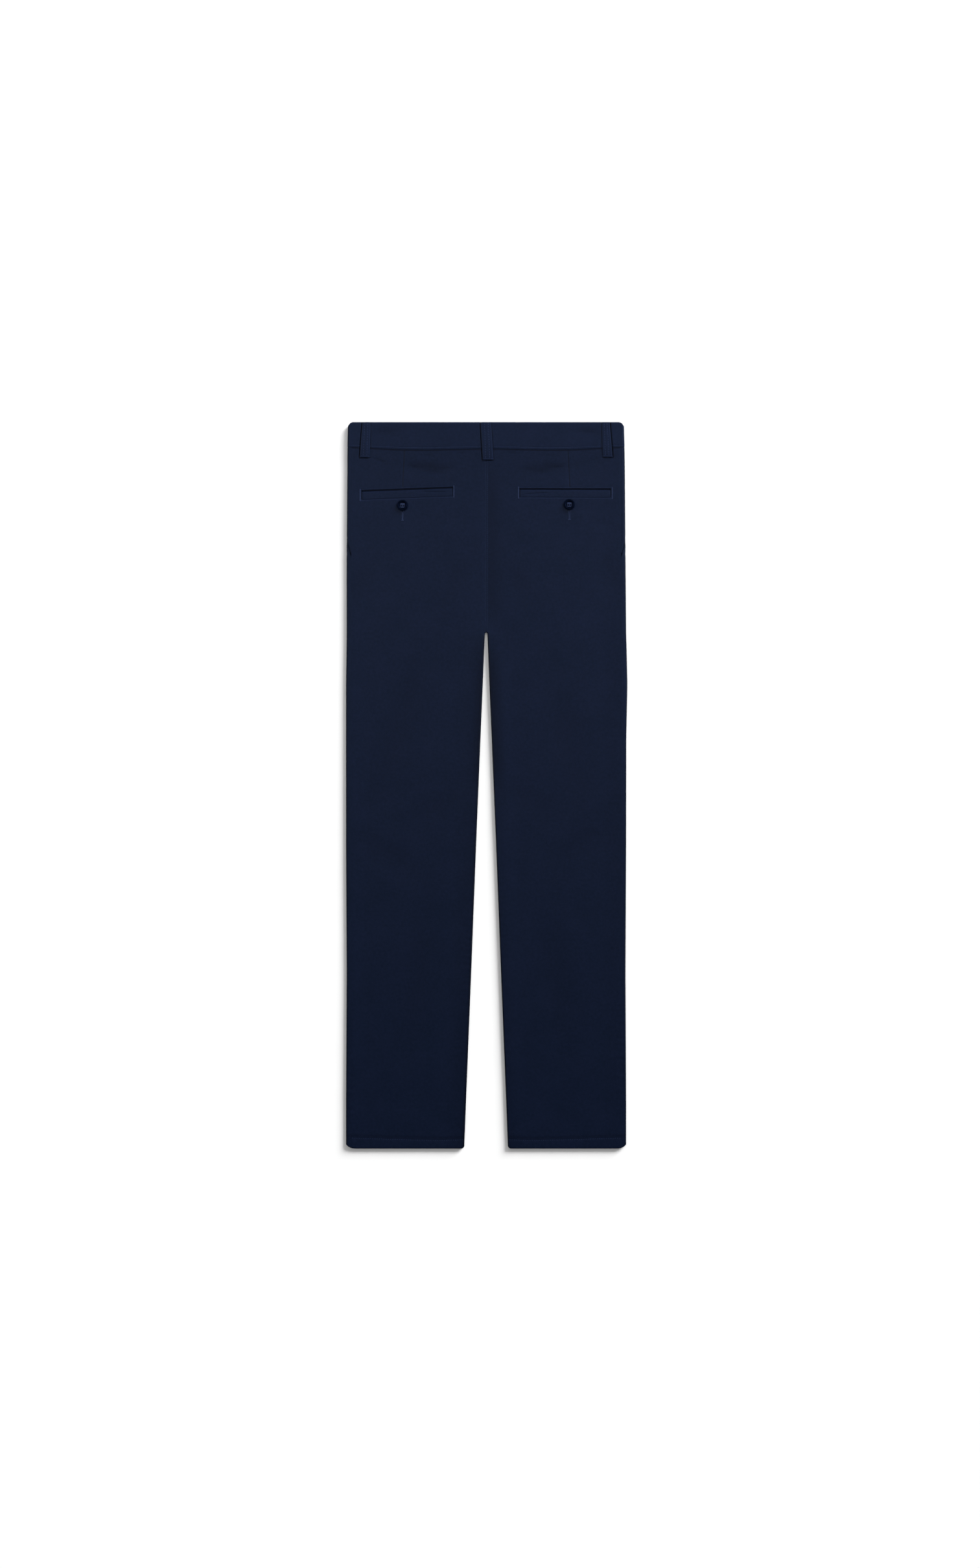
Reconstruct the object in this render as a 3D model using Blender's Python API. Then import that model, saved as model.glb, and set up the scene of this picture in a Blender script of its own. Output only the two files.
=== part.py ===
"""Chino trousers laid flat with their back up, built from the pieces that a maker cuts and sews.

Each cloth piece is a wall on one laid form. A place on the form has a run, the distance from the
centre line measured along the cloth, and a drop below the waist edge. On the front the run carries
on round the folded side and a little way over the back, to the side seam. All sizes are in
millimetres and are turned into metres once, where a mesh is made. The origin is the middle of the
underside, the back faces up, and the wearer's left is at -X.
"""

import math
from typing import NamedTuple

import bmesh
import bpy
import numpy as np
from mathutils import Matrix, Vector

MM = 0.001
LEFT, RIGHT = -1, 1
SIDE_NAME = {LEFT: "left", RIGHT: "right"}

# Overall sizes
LENGTH = 1076.0
CROTCH_DROP = 312.5
SEAM_GAP = 0.3
HALF_GAP = 0.5 * SEAM_GAP
PANEL_WALL = 1.2
HEM_WALL = 1.9
HEM_DEPTH = 14.5
WAISTBAND_WALL = 1.6
# How far the outer edge of a turned hem or a waist edge is rounded off
EDGE_ROUND = 0.45

# The side seam lies this far in from the folded side, on the back
SIDE_ROLL = 6.5
ROLL_STEPS = 6
# Width over which a rolled edge runs down into the flat middle
EDGE_SLOPE = 30.0

# The rise seams turn down between the legs over this length above the crotch
TUCK_LENGTH = 45.0
TUCK_AT_WAIST = 0.25

# The front is cut lower than the back at the centre, so its waist edge dips under the back's
FRONT_DIP = 14.0
FRONT_DIP_REACH = 196.0

# The left front laps over the right by this much, down to the end of the fly
FLY_LAP = 4.0
FLY_END_DROP = 226.0
FLY_RUN_OUT = 12.0
# The left waistband ends in a tab this far past the centre front
TAB_REACH = 36.0

# The front pocket's mouth slants from the waist seam to the side seam
POCKET_MOUTH_TOP = 46.0
POCKET_MOUTH_DROP = 200.0
POCKET_POINT_WIDTH = 2.0
POCKET_MOUTH_GAP = 0.5

LOOP_WALL = 1.3
LOOP_ROUND = 0.4
LOOP_BOW = 1.5
FRONT_LOOP_RUN = 112.5
FRONT_LOOP_WIDTH = 15.0
FRONT_LOOP_HANG = 13.0
LOOP_INSET = 0.9

BUTTON_RADIUS = 8.0
BUTTON_THICK = 2.2
BUTTON_RIM = 2.2
BUTTON_DISH = 0.7
BUTTON_HOLE_RADIUS = 0.8
BUTTON_HOLE_OFFSET = 1.45
BUTTON_SIDES = 20

# Cloth over a loop or a button stays lifted this far past it, then comes down over a bridge
LIFT_MARGIN = 1.6
LOOP_BRIDGE = 6.0
BUTTON_BRIDGE = 9.5


class Level(NamedTuple):
    """The outline and the thickness of the laid garment at one drop below the waist edge."""

    drop: float
    left: float
    right: float
    inner: float
    height: float
    sag: float


LEVELS = (
    Level(drop=0, left=204.5, right=204.0, inner=0.0, height=6.4, sag=0.0),
    Level(drop=38, left=205.4, right=205.0, inner=0.0, height=6.4, sag=0.1),
    Level(drop=65, left=205.4, right=205.4, inner=0.0, height=5.8, sag=0.4),
    Level(drop=200, left=206.4, right=206.4, inner=0.0, height=5.7, sag=0.5),
    Level(drop=312.5, left=206.4, right=207.4, inner=0.15, height=5.4, sag=0.7),
    Level(drop=316, left=206.4, right=207.5, inner=1.8, height=5.4, sag=0.7),
    Level(drop=336, left=206.6, right=208.1, inner=2.7, height=5.3, sag=0.8),
    Level(drop=388, left=207.4, right=209.3, inner=4.8, height=5.2, sag=0.9),
    Level(drop=468, left=207.4, right=207.6, inner=8.2, height=5.1, sag=0.9),
    Level(drop=624, left=207.4, right=207.4, inner=14.6, height=5.0, sag=0.9),
    Level(drop=816, left=206.4, right=206.4, inner=22.0, height=4.9, sag=0.9),
    Level(drop=1006, left=207.4, right=207.4, inner=29.6, height=4.9, sag=0.7),
    Level(drop=1050, left=207.4, right=207.4, inner=31.3, height=4.9, sag=0.3),
    Level(drop=1076, left=207.4, right=207.4, inner=32.3, height=4.9, sag=0.1),
)


# The right side reaches out further, so the centre seams lie this far left of the origin
SEAMS_OFF_CENTRE = 0.5 * (max(row.right for row in LEVELS) - max(row.left for row in LEVELS))


class SeamPoint(NamedTuple):
    """The waist seam's drop at one run from the centre back."""

    run: float
    drop: float


WAIST_SEAM = (
    SeamPoint(run=0, drop=39.0),
    SeamPoint(run=49.3, drop=40.1),
    SeamPoint(run=87.9, drop=41.0),
    SeamPoint(run=126.6, drop=40.6),
    SeamPoint(run=165.2, drop=38.8),
    SeamPoint(run=184.5, drop=37.6),
    SeamPoint(run=207, drop=36.8),
)


class BackPocket(NamedTuple):
    """The window in a back panel that its welt fills. Its outer end may hang lower."""

    inner_drop: float
    outer_drop: float
    depth: float


POCKET_INNER = 49.3
POCKET_OUTER = 184.5
POCKET_COLUMNS = 8
BACK_POCKETS = {
    LEFT: BackPocket(inner_drop=95.8, outer_drop=101.0, depth=13.4),
    RIGHT: BackPocket(inner_drop=98.0, outer_drop=98.4, depth=12.8),
}
POCKET_MOUTH = 0.9
WELT_SINK = 0.35
WELT_LIP = 0.3
# How far above and below a pocket its tilt still turns the cloth's rows
TILT_FADE = 40.0


class Fold(NamedTuple):
    """A soft trough (positive depth) or ridge (negative depth) in the cloth of the back."""

    side: int  # LEFT, RIGHT, or 0 for one on each side
    run: float
    drop: float
    turn: float  # degrees, positive where the end nearer the side is lower
    length: float
    width: float
    depth: float


FOLDS = (
    Fold(side=LEFT, run=86, drop=69, turn=-5, length=80, width=20, depth=0.8),
    Fold(side=RIGHT, run=84, drop=70, turn=-7, length=84, width=20, depth=0.8),
    Fold(side=0, run=63, drop=162, turn=0, length=70, width=26, depth=-0.4),
    Fold(side=0, run=190, drop=234, turn=66, length=70, width=30, depth=0.4),
    Fold(side=0, run=46, drop=232, turn=58, length=100, width=34, depth=0.4),
    Fold(side=0, run=26, drop=440, turn=88, length=190, width=30, depth=-0.4),
    Fold(side=LEFT, run=128, drop=446, turn=74, length=220, width=56, depth=0.45),
    Fold(side=RIGHT, run=118, drop=468, turn=80, length=240, width=58, depth=0.45),
    Fold(side=0, run=66, drop=562, turn=36, length=110, width=44, depth=0.4),
    Fold(side=LEFT, run=150, drop=640, turn=-30, length=130, width=50, depth=0.4),
    Fold(side=RIGHT, run=144, drop=622, turn=-26, length=120, width=50, depth=0.4),
    Fold(side=0, run=104, drop=830, turn=82, length=250, width=56, depth=0.4),
)


class Loop(NamedTuple):
    """A belt loop, straight from its top to its end. x is measured from the centre seams."""

    name: str
    x_top: float
    x_end: float
    width_top: float
    width_end: float
    top: float
    end: float


class ButtonPlace(NamedTuple):
    """A button's centre. x is measured from the centre seams."""

    name: str
    x: float
    drop: float


BACK_BUTTONS = (
    ButtonPlace(name="button_back_left", x=-123.8, drop=123.2),
    ButtonPlace(name="button_back_right", x=123.2, drop=122.0),
)
FRONT_BUTTON = ButtonPlace(name="button_front", x=19.0, drop=33.0)

# Drops of the rows of each panel's grid, below the row at its waist seam. Where the outline
# bends, the back and the front have a row at the same drop, so that their seams match.
RISE_ROWS = (267.5, 282, 297, 312.5)
LEG_ROWS = (316, 336, 388, 468, 624, 816, 1006)
HEM_ROWS = (LENGTH - HEM_DEPTH - 1.2, LENGTH - HEM_DEPTH, LENGTH - 0.7, LENGTH)
BACK_BODY_ROWS = (42, 49, 57, 65, 73, 81, 88, 118, 128, 142, 156, 170, 185, 200, 218, 236, 252)
BACK_LEG_ROWS = (324, 360, 414, 440, 500, 532, 562, 594, 660, 700, 740, 780, 860, 910, 960, 1036)
FRONT_BODY_ROWS = (60, 66.9, 73.5, 110, 157, 172, 186, 200, 226, 232, 238)
FRONT_COLUMNS = (45.0, 72.0)


def smooth(t):
    """0 below 0, 1 above 1, and a soft S between."""
    t = min(max(t, 0.0), 1.0)
    return t * t * (3.0 - 2.0 * t)


def level(drop, column):
    """One column of LEVELS at a drop."""
    return float(np.interp(drop, [row.drop for row in LEVELS], [getattr(row, column) for row in LEVELS]))


def side_edge(side, drop):
    """Distance from the centre line to the folded side."""
    return level(drop, SIDE_NAME[side])


def edge_radius(drop):
    """Outer radius of the rolled edges."""
    return 0.5 * level(drop, "height")


def back_seam(run):
    """Drop of the waist seam on the back."""
    return float(np.interp(abs(run), [p.run for p in WAIST_SEAM], [p.drop for p in WAIST_SEAM]))


def front_dip(run):
    """How far the front's waist edge lies below the back's."""
    return FRONT_DIP * (1.0 - smooth(abs(run) / FRONT_DIP_REACH))


def front_seam(run):
    """Drop of the waist seam on the front."""
    return back_seam(run) + front_dip(run)


FRONT_TOP = front_seam(0.0) + SEAM_GAP
BACK_TOP = back_seam(0.0) + SEAM_GAP

BACK_LOOPS = (
    Loop("loop_back_left", -176.2, -179.6, width_top=13.4, width_end=16.4, top=LOOP_INSET, end=52.4),
    Loop("loop_back_centre", -0.6, 2.9, width_top=15.4, width_end=16.0, top=LOOP_INSET, end=55.9),
    Loop("loop_back_right", 176.2, 179.8, width_top=13.4, width_end=16.4, top=LOOP_INSET, end=51.9),
)
FRONT_LOOPS = tuple(
    Loop(
        f"loop_front_{SIDE_NAME[side]}",
        x_top=side * FRONT_LOOP_RUN,
        x_end=side * FRONT_LOOP_RUN,
        width_top=FRONT_LOOP_WIDTH,
        width_end=FRONT_LOOP_WIDTH,
        top=front_dip(FRONT_LOOP_RUN) + LOOP_INSET,
        end=front_seam(FRONT_LOOP_RUN) + FRONT_LOOP_HANG,
    )
    for side in (LEFT, RIGHT)
)
# Runs of the grid columns that bound a front loop and the bridges beside it
FRONT_LOOP_COLUMNS = tuple(
    FRONT_LOOP_RUN + way * (0.5 * FRONT_LOOP_WIDTH + LIFT_MARGIN + reach)
    for way, reach in ((-1, LOOP_BRIDGE), (-1, 0.0), (1, 0.0), (1, LOOP_BRIDGE))
)


def corner(distance, reach, rise, power):
    """How far a free edge curves away at a corner, from the distance to the folded side."""
    return rise * min(max(1.0 - distance / reach, 0.0), 1.0) ** power


def fold_depth(side, run, drop):
    """Sum of the soft folds at a place on the back."""
    total = 0.0
    for fold in FOLDS:
        if fold.side not in (0, side):
            continue
        angle = math.radians(fold.turn)
        dx, dy = run - fold.run, drop - fold.drop
        lengthwise = dx * math.cos(angle) + dy * math.sin(angle)
        crosswise = -dx * math.sin(angle) + dy * math.cos(angle)
        reach = (2.0 * lengthwise / fold.length) ** 2 + (2.0 * crosswise / fold.width) ** 2
        total += fold.depth * math.exp(-1.6 * reach)
    return total


def tuck(drop, at_waist):
    """How far the inner edge is turned down: 0 lies flat, 1 is a leg's folded inseam."""
    return at_waist + (1.0 - at_waist) * smooth((drop - CROTCH_DROP + TUCK_LENGTH) / TUCK_LENGTH)


def dip_of_top(side, across, drop):
    """How far the upper face lies below the height of the rolled edges."""
    radius = edge_radius(drop)
    ease = smooth((side_edge(side, drop) - radius - across) / EDGE_SLOPE)
    from_inner = across - level(drop, "inner") - radius
    ease *= 1.0 - tuck(drop, 0.0) * (1.0 - smooth(from_inner / EDGE_SLOPE))
    return level(drop, "sag") * ease + fold_depth(side, across, drop)


def back_surface(x, drop):
    """Height of the back's upper face away from the rolled edges."""
    side = LEFT if x < 0 else RIGHT
    return 2.0 * edge_radius(drop) - dip_of_top(side, abs(x), drop)


def come_down(distance, bridge):
    """1 over a thing beneath the cloth, falling to 0 past the bridge beside it."""
    return 1.0 - smooth((distance - LIFT_MARGIN) / bridge)


def lift_of_front(x, drop):
    """How far the front is raised where it lies on its belt loops and its button."""
    lift = 0.0
    for loop in FRONT_LOOPS:
        off = max(abs(x - loop.x_top) - 0.5 * loop.width_top, loop.top - drop, drop - loop.end)
        lift = max(lift, (LOOP_WALL + SEAM_GAP) * come_down(off, LOOP_BRIDGE))
    off = max(abs(x - FRONT_BUTTON.x), abs(drop - FRONT_BUTTON.drop)) - BUTTON_RADIUS
    return max(lift, (BUTTON_THICK + SEAM_GAP) * come_down(off, BUTTON_BRIDGE))


def fly_line(side, drop):
    """Where a front panel starts beside the centre front, with the left lapped over the right."""
    return HALF_GAP + side * FLY_LAP * (1.0 - smooth((drop - FLY_END_DROP) / FLY_RUN_OUT))


def inner_roll(side, drop, on_front):
    """A panel's inner edge: the run where its roll begins and the run where its cut ends."""
    radius = edge_radius(drop)
    leg_gap = max(0.0, level(drop, "inner") - HALF_GAP)
    start = leg_gap + (fly_line(side, drop) if on_front else HALF_GAP)
    turned = tuck(drop, 0.0 if on_front else TUCK_AT_WAIST)
    angle = 0.5 * math.pi * turned
    middle = start + radius * math.sin(angle)
    return middle, middle - radius * angle


def side_end(side, drop, on_front):
    """The run of a panel's cut at the side seam."""
    edge = side_edge(side, drop)
    if not on_front:
        return edge - SIDE_ROLL - HALF_GAP
    radius = edge_radius(drop)
    return edge - radius + math.pi * radius + SIDE_ROLL - radius - HALF_GAP


def back_point(side, run, drop, depth):
    """Distance across and height of a place on the back, depth below its outer face."""
    radius = edge_radius(drop)
    middle, _ = inner_roll(side, drop, on_front=False)
    across, z, share = run, 2.0 * radius - depth, 1.0
    if run < middle:
        turn = (middle - run) / radius
        half_gap = HALF_GAP * tuck(drop, 0.0)
        across = middle - (radius - depth) * math.sin(turn)
        z = radius + half_gap + (radius - half_gap - depth) * math.cos(turn)
        share = math.cos(turn)
    return across, z - share * dip_of_top(side, across, drop)


def front_point(side, run, drop, depth, has_inner_roll=True):
    """Distance across and height of a place on the front, depth inside its outer face."""
    radius = edge_radius(drop)
    middle, _ = inner_roll(side, drop, on_front=True)
    fold = side_edge(side, drop) - radius
    if has_inner_roll and run < middle:
        turn = (middle - run) / radius
        half_gap = HALF_GAP * tuck(drop, 0.0)
        z = radius - half_gap - (radius - half_gap - depth) * math.cos(turn)
        return middle - (radius - depth) * math.sin(turn), z
    if run < fold:
        return run, depth + lift_of_front(side * run, drop)
    turn = (run - fold) / radius
    if turn < math.pi:
        across = fold + (radius - depth) * math.sin(turn)
        z = radius - (radius - depth) * math.cos(turn)
        share = max(0.0, -math.cos(turn))
    else:
        across, z, share = fold - (turn - math.pi) * radius, 2.0 * radius - depth, 1.0
    return across, z - share * dip_of_top(side, across, drop)


def hem_lift(side, across):
    """How far the hem's two corners curve up, at one place across a leg."""
    outer = corner(side_edge(side, LENGTH) - across, reach=19.0, rise=5.4, power=2.2)
    inner = corner(across - level(LENGTH, "inner"), reach=4.5, rise=2.6, power=2.0)
    return max(outer, inner)


def row_drop(side, across, row, seam_at):
    """Drop of a panel's row at a place across: its ends follow the waist seam and the hem."""
    from_seam = row - seam_at(0.0) - SEAM_GAP
    near_waist = 1.0 - smooth(from_seam / 60.0)
    near_hem = smooth((row - LENGTH + 60.0) / 60.0)
    return row + (seam_at(across) - seam_at(0.0)) * near_waist - hem_lift(side, across) * near_hem


def pocket_tilt(side, across, drop):
    """How far a place is moved down to run along the tilted back pocket."""
    pocket = BACK_POCKETS[side]
    share = (across - POCKET_INNER) / (POCKET_OUTER - POCKET_INNER)
    shift = share * (pocket.outer_drop - pocket.inner_drop)
    off = abs(drop - pocket.inner_drop - shift) - pocket.depth
    return shift * (1.0 - smooth(off / TILT_FADE))


def place(x, drop, z):
    """A point in metres in the part's frame, from x off the centre seams and a drop."""
    return Vector((x - SEAMS_OFF_CENTRE, 0.5 * LENGTH - drop, z)) * MM


def panel_wall(row):
    """Depths of a panel's two faces at a row: doubled at the turned hem, with a rounded edge."""
    if row >= HEM_ROWS[-1]:
        return (EDGE_ROUND, HEM_WALL - EDGE_ROUND)
    if row >= HEM_ROWS[1]:
        return (0.0, HEM_WALL)
    return (0.0, PANEL_WALL)


def wall_mesh(name, rows, columns, point_at, depths, hole=None):
    """A closed wall: a grid of points for each face, joined round the edge and round one opening.

    point_at(row, column, depth) gives a point and depths(row) the depths of the two faces. hole is
    the first and last row and the first and last column round the opening, by their place in the
    lists.
    """
    bm = bmesh.new()
    faces = ([], [])
    for row in rows:
        for grid, depth in zip(faces, depths(row)):
            points = [point_at(row, column, depth) for column in columns]
            grid.append([bm.verts.new(point) for point in points])
    outer, inner = faces
    for i in range(len(rows) - 1):
        for j in range(len(columns) - 1):
            if hole and hole[0] <= i < hole[1] and hole[2] <= j < hole[3]:
                continue
            bm.faces.new((outer[i][j], outer[i][j + 1], outer[i + 1][j + 1], outer[i + 1][j]))
            bm.faces.new((inner[i][j], inner[i + 1][j], inner[i + 1][j + 1], inner[i][j + 1]))
    add_rim(bm, outer, inner, (0, len(rows) - 1, 0, len(columns) - 1))
    if hole:
        add_rim(bm, outer, inner, hole)
        loose = [vert for vert in bm.verts if not vert.link_faces]
        bmesh.ops.delete(bm, geom=loose, context="VERTS")
    return finish_mesh(name, bm)


def add_rim(bm, outer, inner, bounds):
    """Faces between the two grids of a wall round a rectangle of their points."""
    top, bottom, left, right = bounds
    path = [(top, j) for j in range(left, right)]
    path += [(i, right) for i in range(top, bottom)]
    path += [(bottom, j) for j in range(right, left, -1)]
    path += [(i, left) for i in range(bottom, top - 1, -1)]
    for (i, j), (k, m) in zip(path, path[1:]):
        bm.faces.new((outer[i][j], inner[i][j], inner[k][m], outer[k][m]))


def finish_mesh(name, bm):
    """A closed mesh in triangles, with its faces pointing out, from a bmesh."""
    bmesh.ops.recalc_face_normals(bm, faces=bm.faces)
    if bm.calc_volume(signed=True) < 0:
        bmesh.ops.reverse_faces(bm, faces=bm.faces)
    bmesh.ops.triangulate(bm, faces=bm.faces)
    mesh = bpy.data.meshes.new(name)
    bm.to_mesh(mesh)
    bm.free()
    mesh.shade_smooth()
    mesh.set_sharp_from_angle(angle=math.radians(40))
    return mesh


# Offsets of the columns at a panel's inner edge and, from the side seam, round the folded side
INNER_OFFSETS = (0.0, 1.5, 3.0, 4.4)
ROLL_FLAT = SIDE_ROLL - edge_radius(0.0)
ROLL_OFFSETS = tuple(
    ROLL_FLAT + step * math.pi * edge_radius(0.0) / ROLL_STEPS for step in range(ROLL_STEPS + 1)
)


def back_panel(side):
    """A back: from the centre back seam and inseam to the side seam, with the pocket's window."""
    pocket = BACK_POCKETS[side]
    window = [pocket.inner_drop, pocket.inner_drop + pocket.depth]
    rows = sorted([BACK_TOP, *BACK_BODY_ROWS, *window, *RISE_ROWS, *LEG_ROWS, *BACK_LEG_ROWS, *HEM_ROWS])
    pocket_runs = [float(run) for run in np.linspace(POCKET_INNER, POCKET_OUTER, POCKET_COLUMNS)]
    columns = [("inner", offset) for offset in INNER_OFFSETS]
    columns += [("between", share) for share in (0.3, 0.65)]
    columns += [("run", run) for run in pocket_runs]
    columns += [("side", offset) for offset in (7.0, 0.0)]

    def run_at(column, drop):
        kind, value = column
        start = inner_roll(side, drop, on_front=False)[1]
        if kind == "inner":
            return start + value
        if kind == "between":
            return start + INNER_OFFSETS[-1] + value * (POCKET_INNER - start - INNER_OFFSETS[-1])
        if kind == "side":
            return side_end(side, drop, on_front=False) - value
        return value

    def point_at(row, column, depth):
        across, _ = back_point(side, run_at(column, row), row, 0.0)
        drop = row_drop(side, across, row, back_seam)
        drop += pocket_tilt(side, across, drop)
        across, z = back_point(side, run_at(column, drop), drop, depth)
        return place(side * across, drop, z)

    first = columns.index(("run", pocket_runs[0]))
    hole = (rows.index(window[0]), rows.index(window[1]), first, first + POCKET_COLUMNS - 1)
    return wall_mesh(f"back_{SIDE_NAME[side]}", rows, columns, point_at, panel_wall, hole)


def mouth_width(row):
    """Distance of the front pocket's mouth from the side seam, along a row of the front."""
    share = (POCKET_MOUTH_DROP - row) / (POCKET_MOUTH_DROP - FRONT_TOP)
    return POCKET_MOUTH_TOP * min(max(share, 0.0), 1.0)


MOUTH_TIP_ROW = POCKET_MOUTH_DROP - (POCKET_MOUTH_DROP - FRONT_TOP) * (
    (POCKET_POINT_WIDTH + POCKET_MOUTH_GAP) / POCKET_MOUTH_TOP
)


def front_grid_point(side, row, depth, run_at):
    """A point of a front piece's grid, whose run is known once its drop is."""
    across, _ = front_point(side, run_at(row), row, 0.0)
    drop = row_drop(side, across, row, front_seam)
    across, z = front_point(side, run_at(drop), drop, depth)
    return place(side * across, drop, z)


def front_panel(side):
    """A front: from the fly and inseam, under the leg and round to the pocket and the side seam."""
    rows = sorted([FRONT_TOP, *FRONT_BODY_ROWS, MOUTH_TIP_ROW, *RISE_ROWS, *LEG_ROWS, *HEM_ROWS])
    columns = [("inner", offset) for offset in INNER_OFFSETS] + [("between", 0.5)]
    columns += [("run", run) for run in FRONT_COLUMNS + FRONT_LOOP_COLUMNS]
    columns += [("side", offset) for offset in (*ROLL_OFFSETS[::-1], 0.0)]

    def point_at(row, column, depth):
        kind, value = column

        def run_at(drop):
            start = inner_roll(side, drop, on_front=True)[1]
            if kind == "inner":
                return start + value
            if kind == "between":
                return start + INNER_OFFSETS[-1] + value * (FRONT_COLUMNS[0] - start - INNER_OFFSETS[-1])
            if kind == "side":
                return side_end(side, drop, on_front=True) - mouth_width(row) - value
            return value

        return front_grid_point(side, row, depth, run_at)

    return wall_mesh(f"front_{SIDE_NAME[side]}", rows, columns, point_at, panel_wall)


def pocket_facing(side):
    """The cloth that shows in the front pocket's mouth, from the mouth to the side seam."""
    rows = [FRONT_TOP] + [row for row in FRONT_BODY_ROWS if row < MOUTH_TIP_ROW] + [MOUTH_TIP_ROW]
    columns = (0.0, *ROLL_OFFSETS, 30.0, POCKET_MOUTH_TOP)
    rolled = ROLL_OFFSETS[-1]

    def from_seam(offset, width):
        """Keeps the columns round the folded side in place while the facing is wider than they."""
        if width <= rolled:
            return offset / POCKET_MOUTH_TOP * width
        if offset <= rolled:
            return offset
        return rolled + (offset - rolled) / (POCKET_MOUTH_TOP - rolled) * (width - rolled)

    def point_at(row, offset, depth):
        inward = from_seam(offset, mouth_width(row) - POCKET_MOUTH_GAP)
        return front_grid_point(side, row, depth, lambda drop: side_end(side, drop, True) - inward)

    name = f"pocket_facing_{SIDE_NAME[side]}"
    return wall_mesh(name, rows, columns, point_at, lambda row: (0.0, PANEL_WALL))


def waistband_half(side):
    """Half the waistband: from the centre back over the back, round the side and under the front."""
    pocket_runs = [float(run) for run in np.linspace(POCKET_INNER, POCKET_OUTER, POCKET_COLUMNS)]
    columns = [("back", HALF_GAP), ("back", 1.4), ("back", 24.0)]
    columns += [("back", run) for run in pocket_runs]
    columns += [("side", offset) for offset in (0.0, *ROLL_OFFSETS, 30.0, POCKET_MOUTH_TOP)]
    front_end = -TAB_REACH if side == LEFT else TAB_REACH + SEAM_GAP
    near_button = [FRONT_BUTTON.x * side - way * (BUTTON_RADIUS + LIFT_MARGIN) for way in (-1, 1)]
    runs = [148.0, *FRONT_LOOP_COLUMNS, *FRONT_COLUMNS, 22.0, near_button[0] + BUTTON_BRIDGE, *near_button]
    columns += [("front", run) for run in sorted(runs, reverse=True) if run > front_end + 1.0]
    columns += [("front", front_end)]
    rows = (0.0, 0.045, 0.27, 0.5, 0.73, 1.0)

    def point_at(row, column, depth):
        kind, value = column
        dip = front_dip(value) if kind == "front" else 0.0
        run, across = value, value
        if kind == "side":
            run = side_end(side, 0.0, on_front=True) - value
            across, _ = front_point(side, run, 0.0, 0.0, has_inner_roll=False)
            dip = front_dip(across) if value > ROLL_OFFSETS[-1] else 0.0
        top = dip + corner(side_edge(side, 0.0) - across, reach=8.5, rise=5.2, power=2.3)
        drop = top + row * (back_seam(across) + dip - top)
        if kind == "back":
            across, z = back_point(side, value, drop, depth)
            return place(side * across, drop, z)
        if kind == "side":
            run = side_end(side, drop, on_front=True) - value
        across, z = front_point(side, run, drop, depth, has_inner_roll=False)
        return place(side * across, drop, z)

    def depths(row):
        return (EDGE_ROUND, WAISTBAND_WALL - EDGE_ROUND) if row == 0.0 else (0.0, WAISTBAND_WALL)

    return wall_mesh(f"waistband_{SIDE_NAME[side]}", rows, columns, point_at, depths)


def welt(side):
    """The folded strip that fills a back pocket's window below its mouth."""
    pocket = BACK_POCKETS[side]
    columns = np.linspace(POCKET_INNER + SEAM_GAP, POCKET_OUTER - SEAM_GAP, POCKET_COLUMNS)
    rows = (POCKET_MOUTH, 2.4, 7.0, pocket.depth - SEAM_GAP)

    def point_at(row, across, depth):
        drop = pocket.inner_drop + row + pocket_tilt(side, across, pocket.inner_drop)
        sink = WELT_SINK * (1.0 - smooth((row - POCKET_MOUTH) / 9.0))
        sink += WELT_LIP if row == POCKET_MOUTH else 0.0
        x = side * across
        return place(x, drop, back_surface(x, drop) - depth - sink)

    def depths(row):
        return (0.0, PANEL_WALL - WELT_LIP) if row == POCKET_MOUTH else (0.0, PANEL_WALL)

    return wall_mesh(f"welt_{SIDE_NAME[side]}", rows, columns, point_at, depths)


def belt_loop(loop, shares, height_under):
    """A belt loop: a strap whose underside is at height_under(x, drop, share)."""
    across = (-1.0, -0.9, 0.9, 1.0)

    def point_at(share, crosswise, upper):
        middle = loop.x_top + share * (loop.x_end - loop.x_top)
        half = 0.5 * (loop.width_top + share * (loop.width_end - loop.width_top))
        x, drop = middle + crosswise * half, loop.top + share * (loop.end - loop.top)
        z = height_under(x, drop, share)
        if upper:
            at_rim = abs(crosswise) == 1.0 or share in (0.0, 1.0)
            z += LOOP_WALL - (LOOP_ROUND if at_rim else 0.0)
        return place(x, drop, z)

    return wall_mesh(loop.name, shares, across, point_at, lambda share: (True, False))


def over_waistband(x, drop, share):
    """Underside of a back loop: on the cloth at its ends and bowed off it between them."""
    beneath = max(back_surface(x, max(0.0, drop + step)) for step in (-2.0, 0.0, 2.0))
    return beneath + SEAM_GAP + LOOP_BOW * math.sin(math.pi * share) ** 0.8


def under_waistband(x, drop, share):
    """Underside of a front loop: the whole loop is pressed flat beneath the garment."""
    return 0.0


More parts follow.
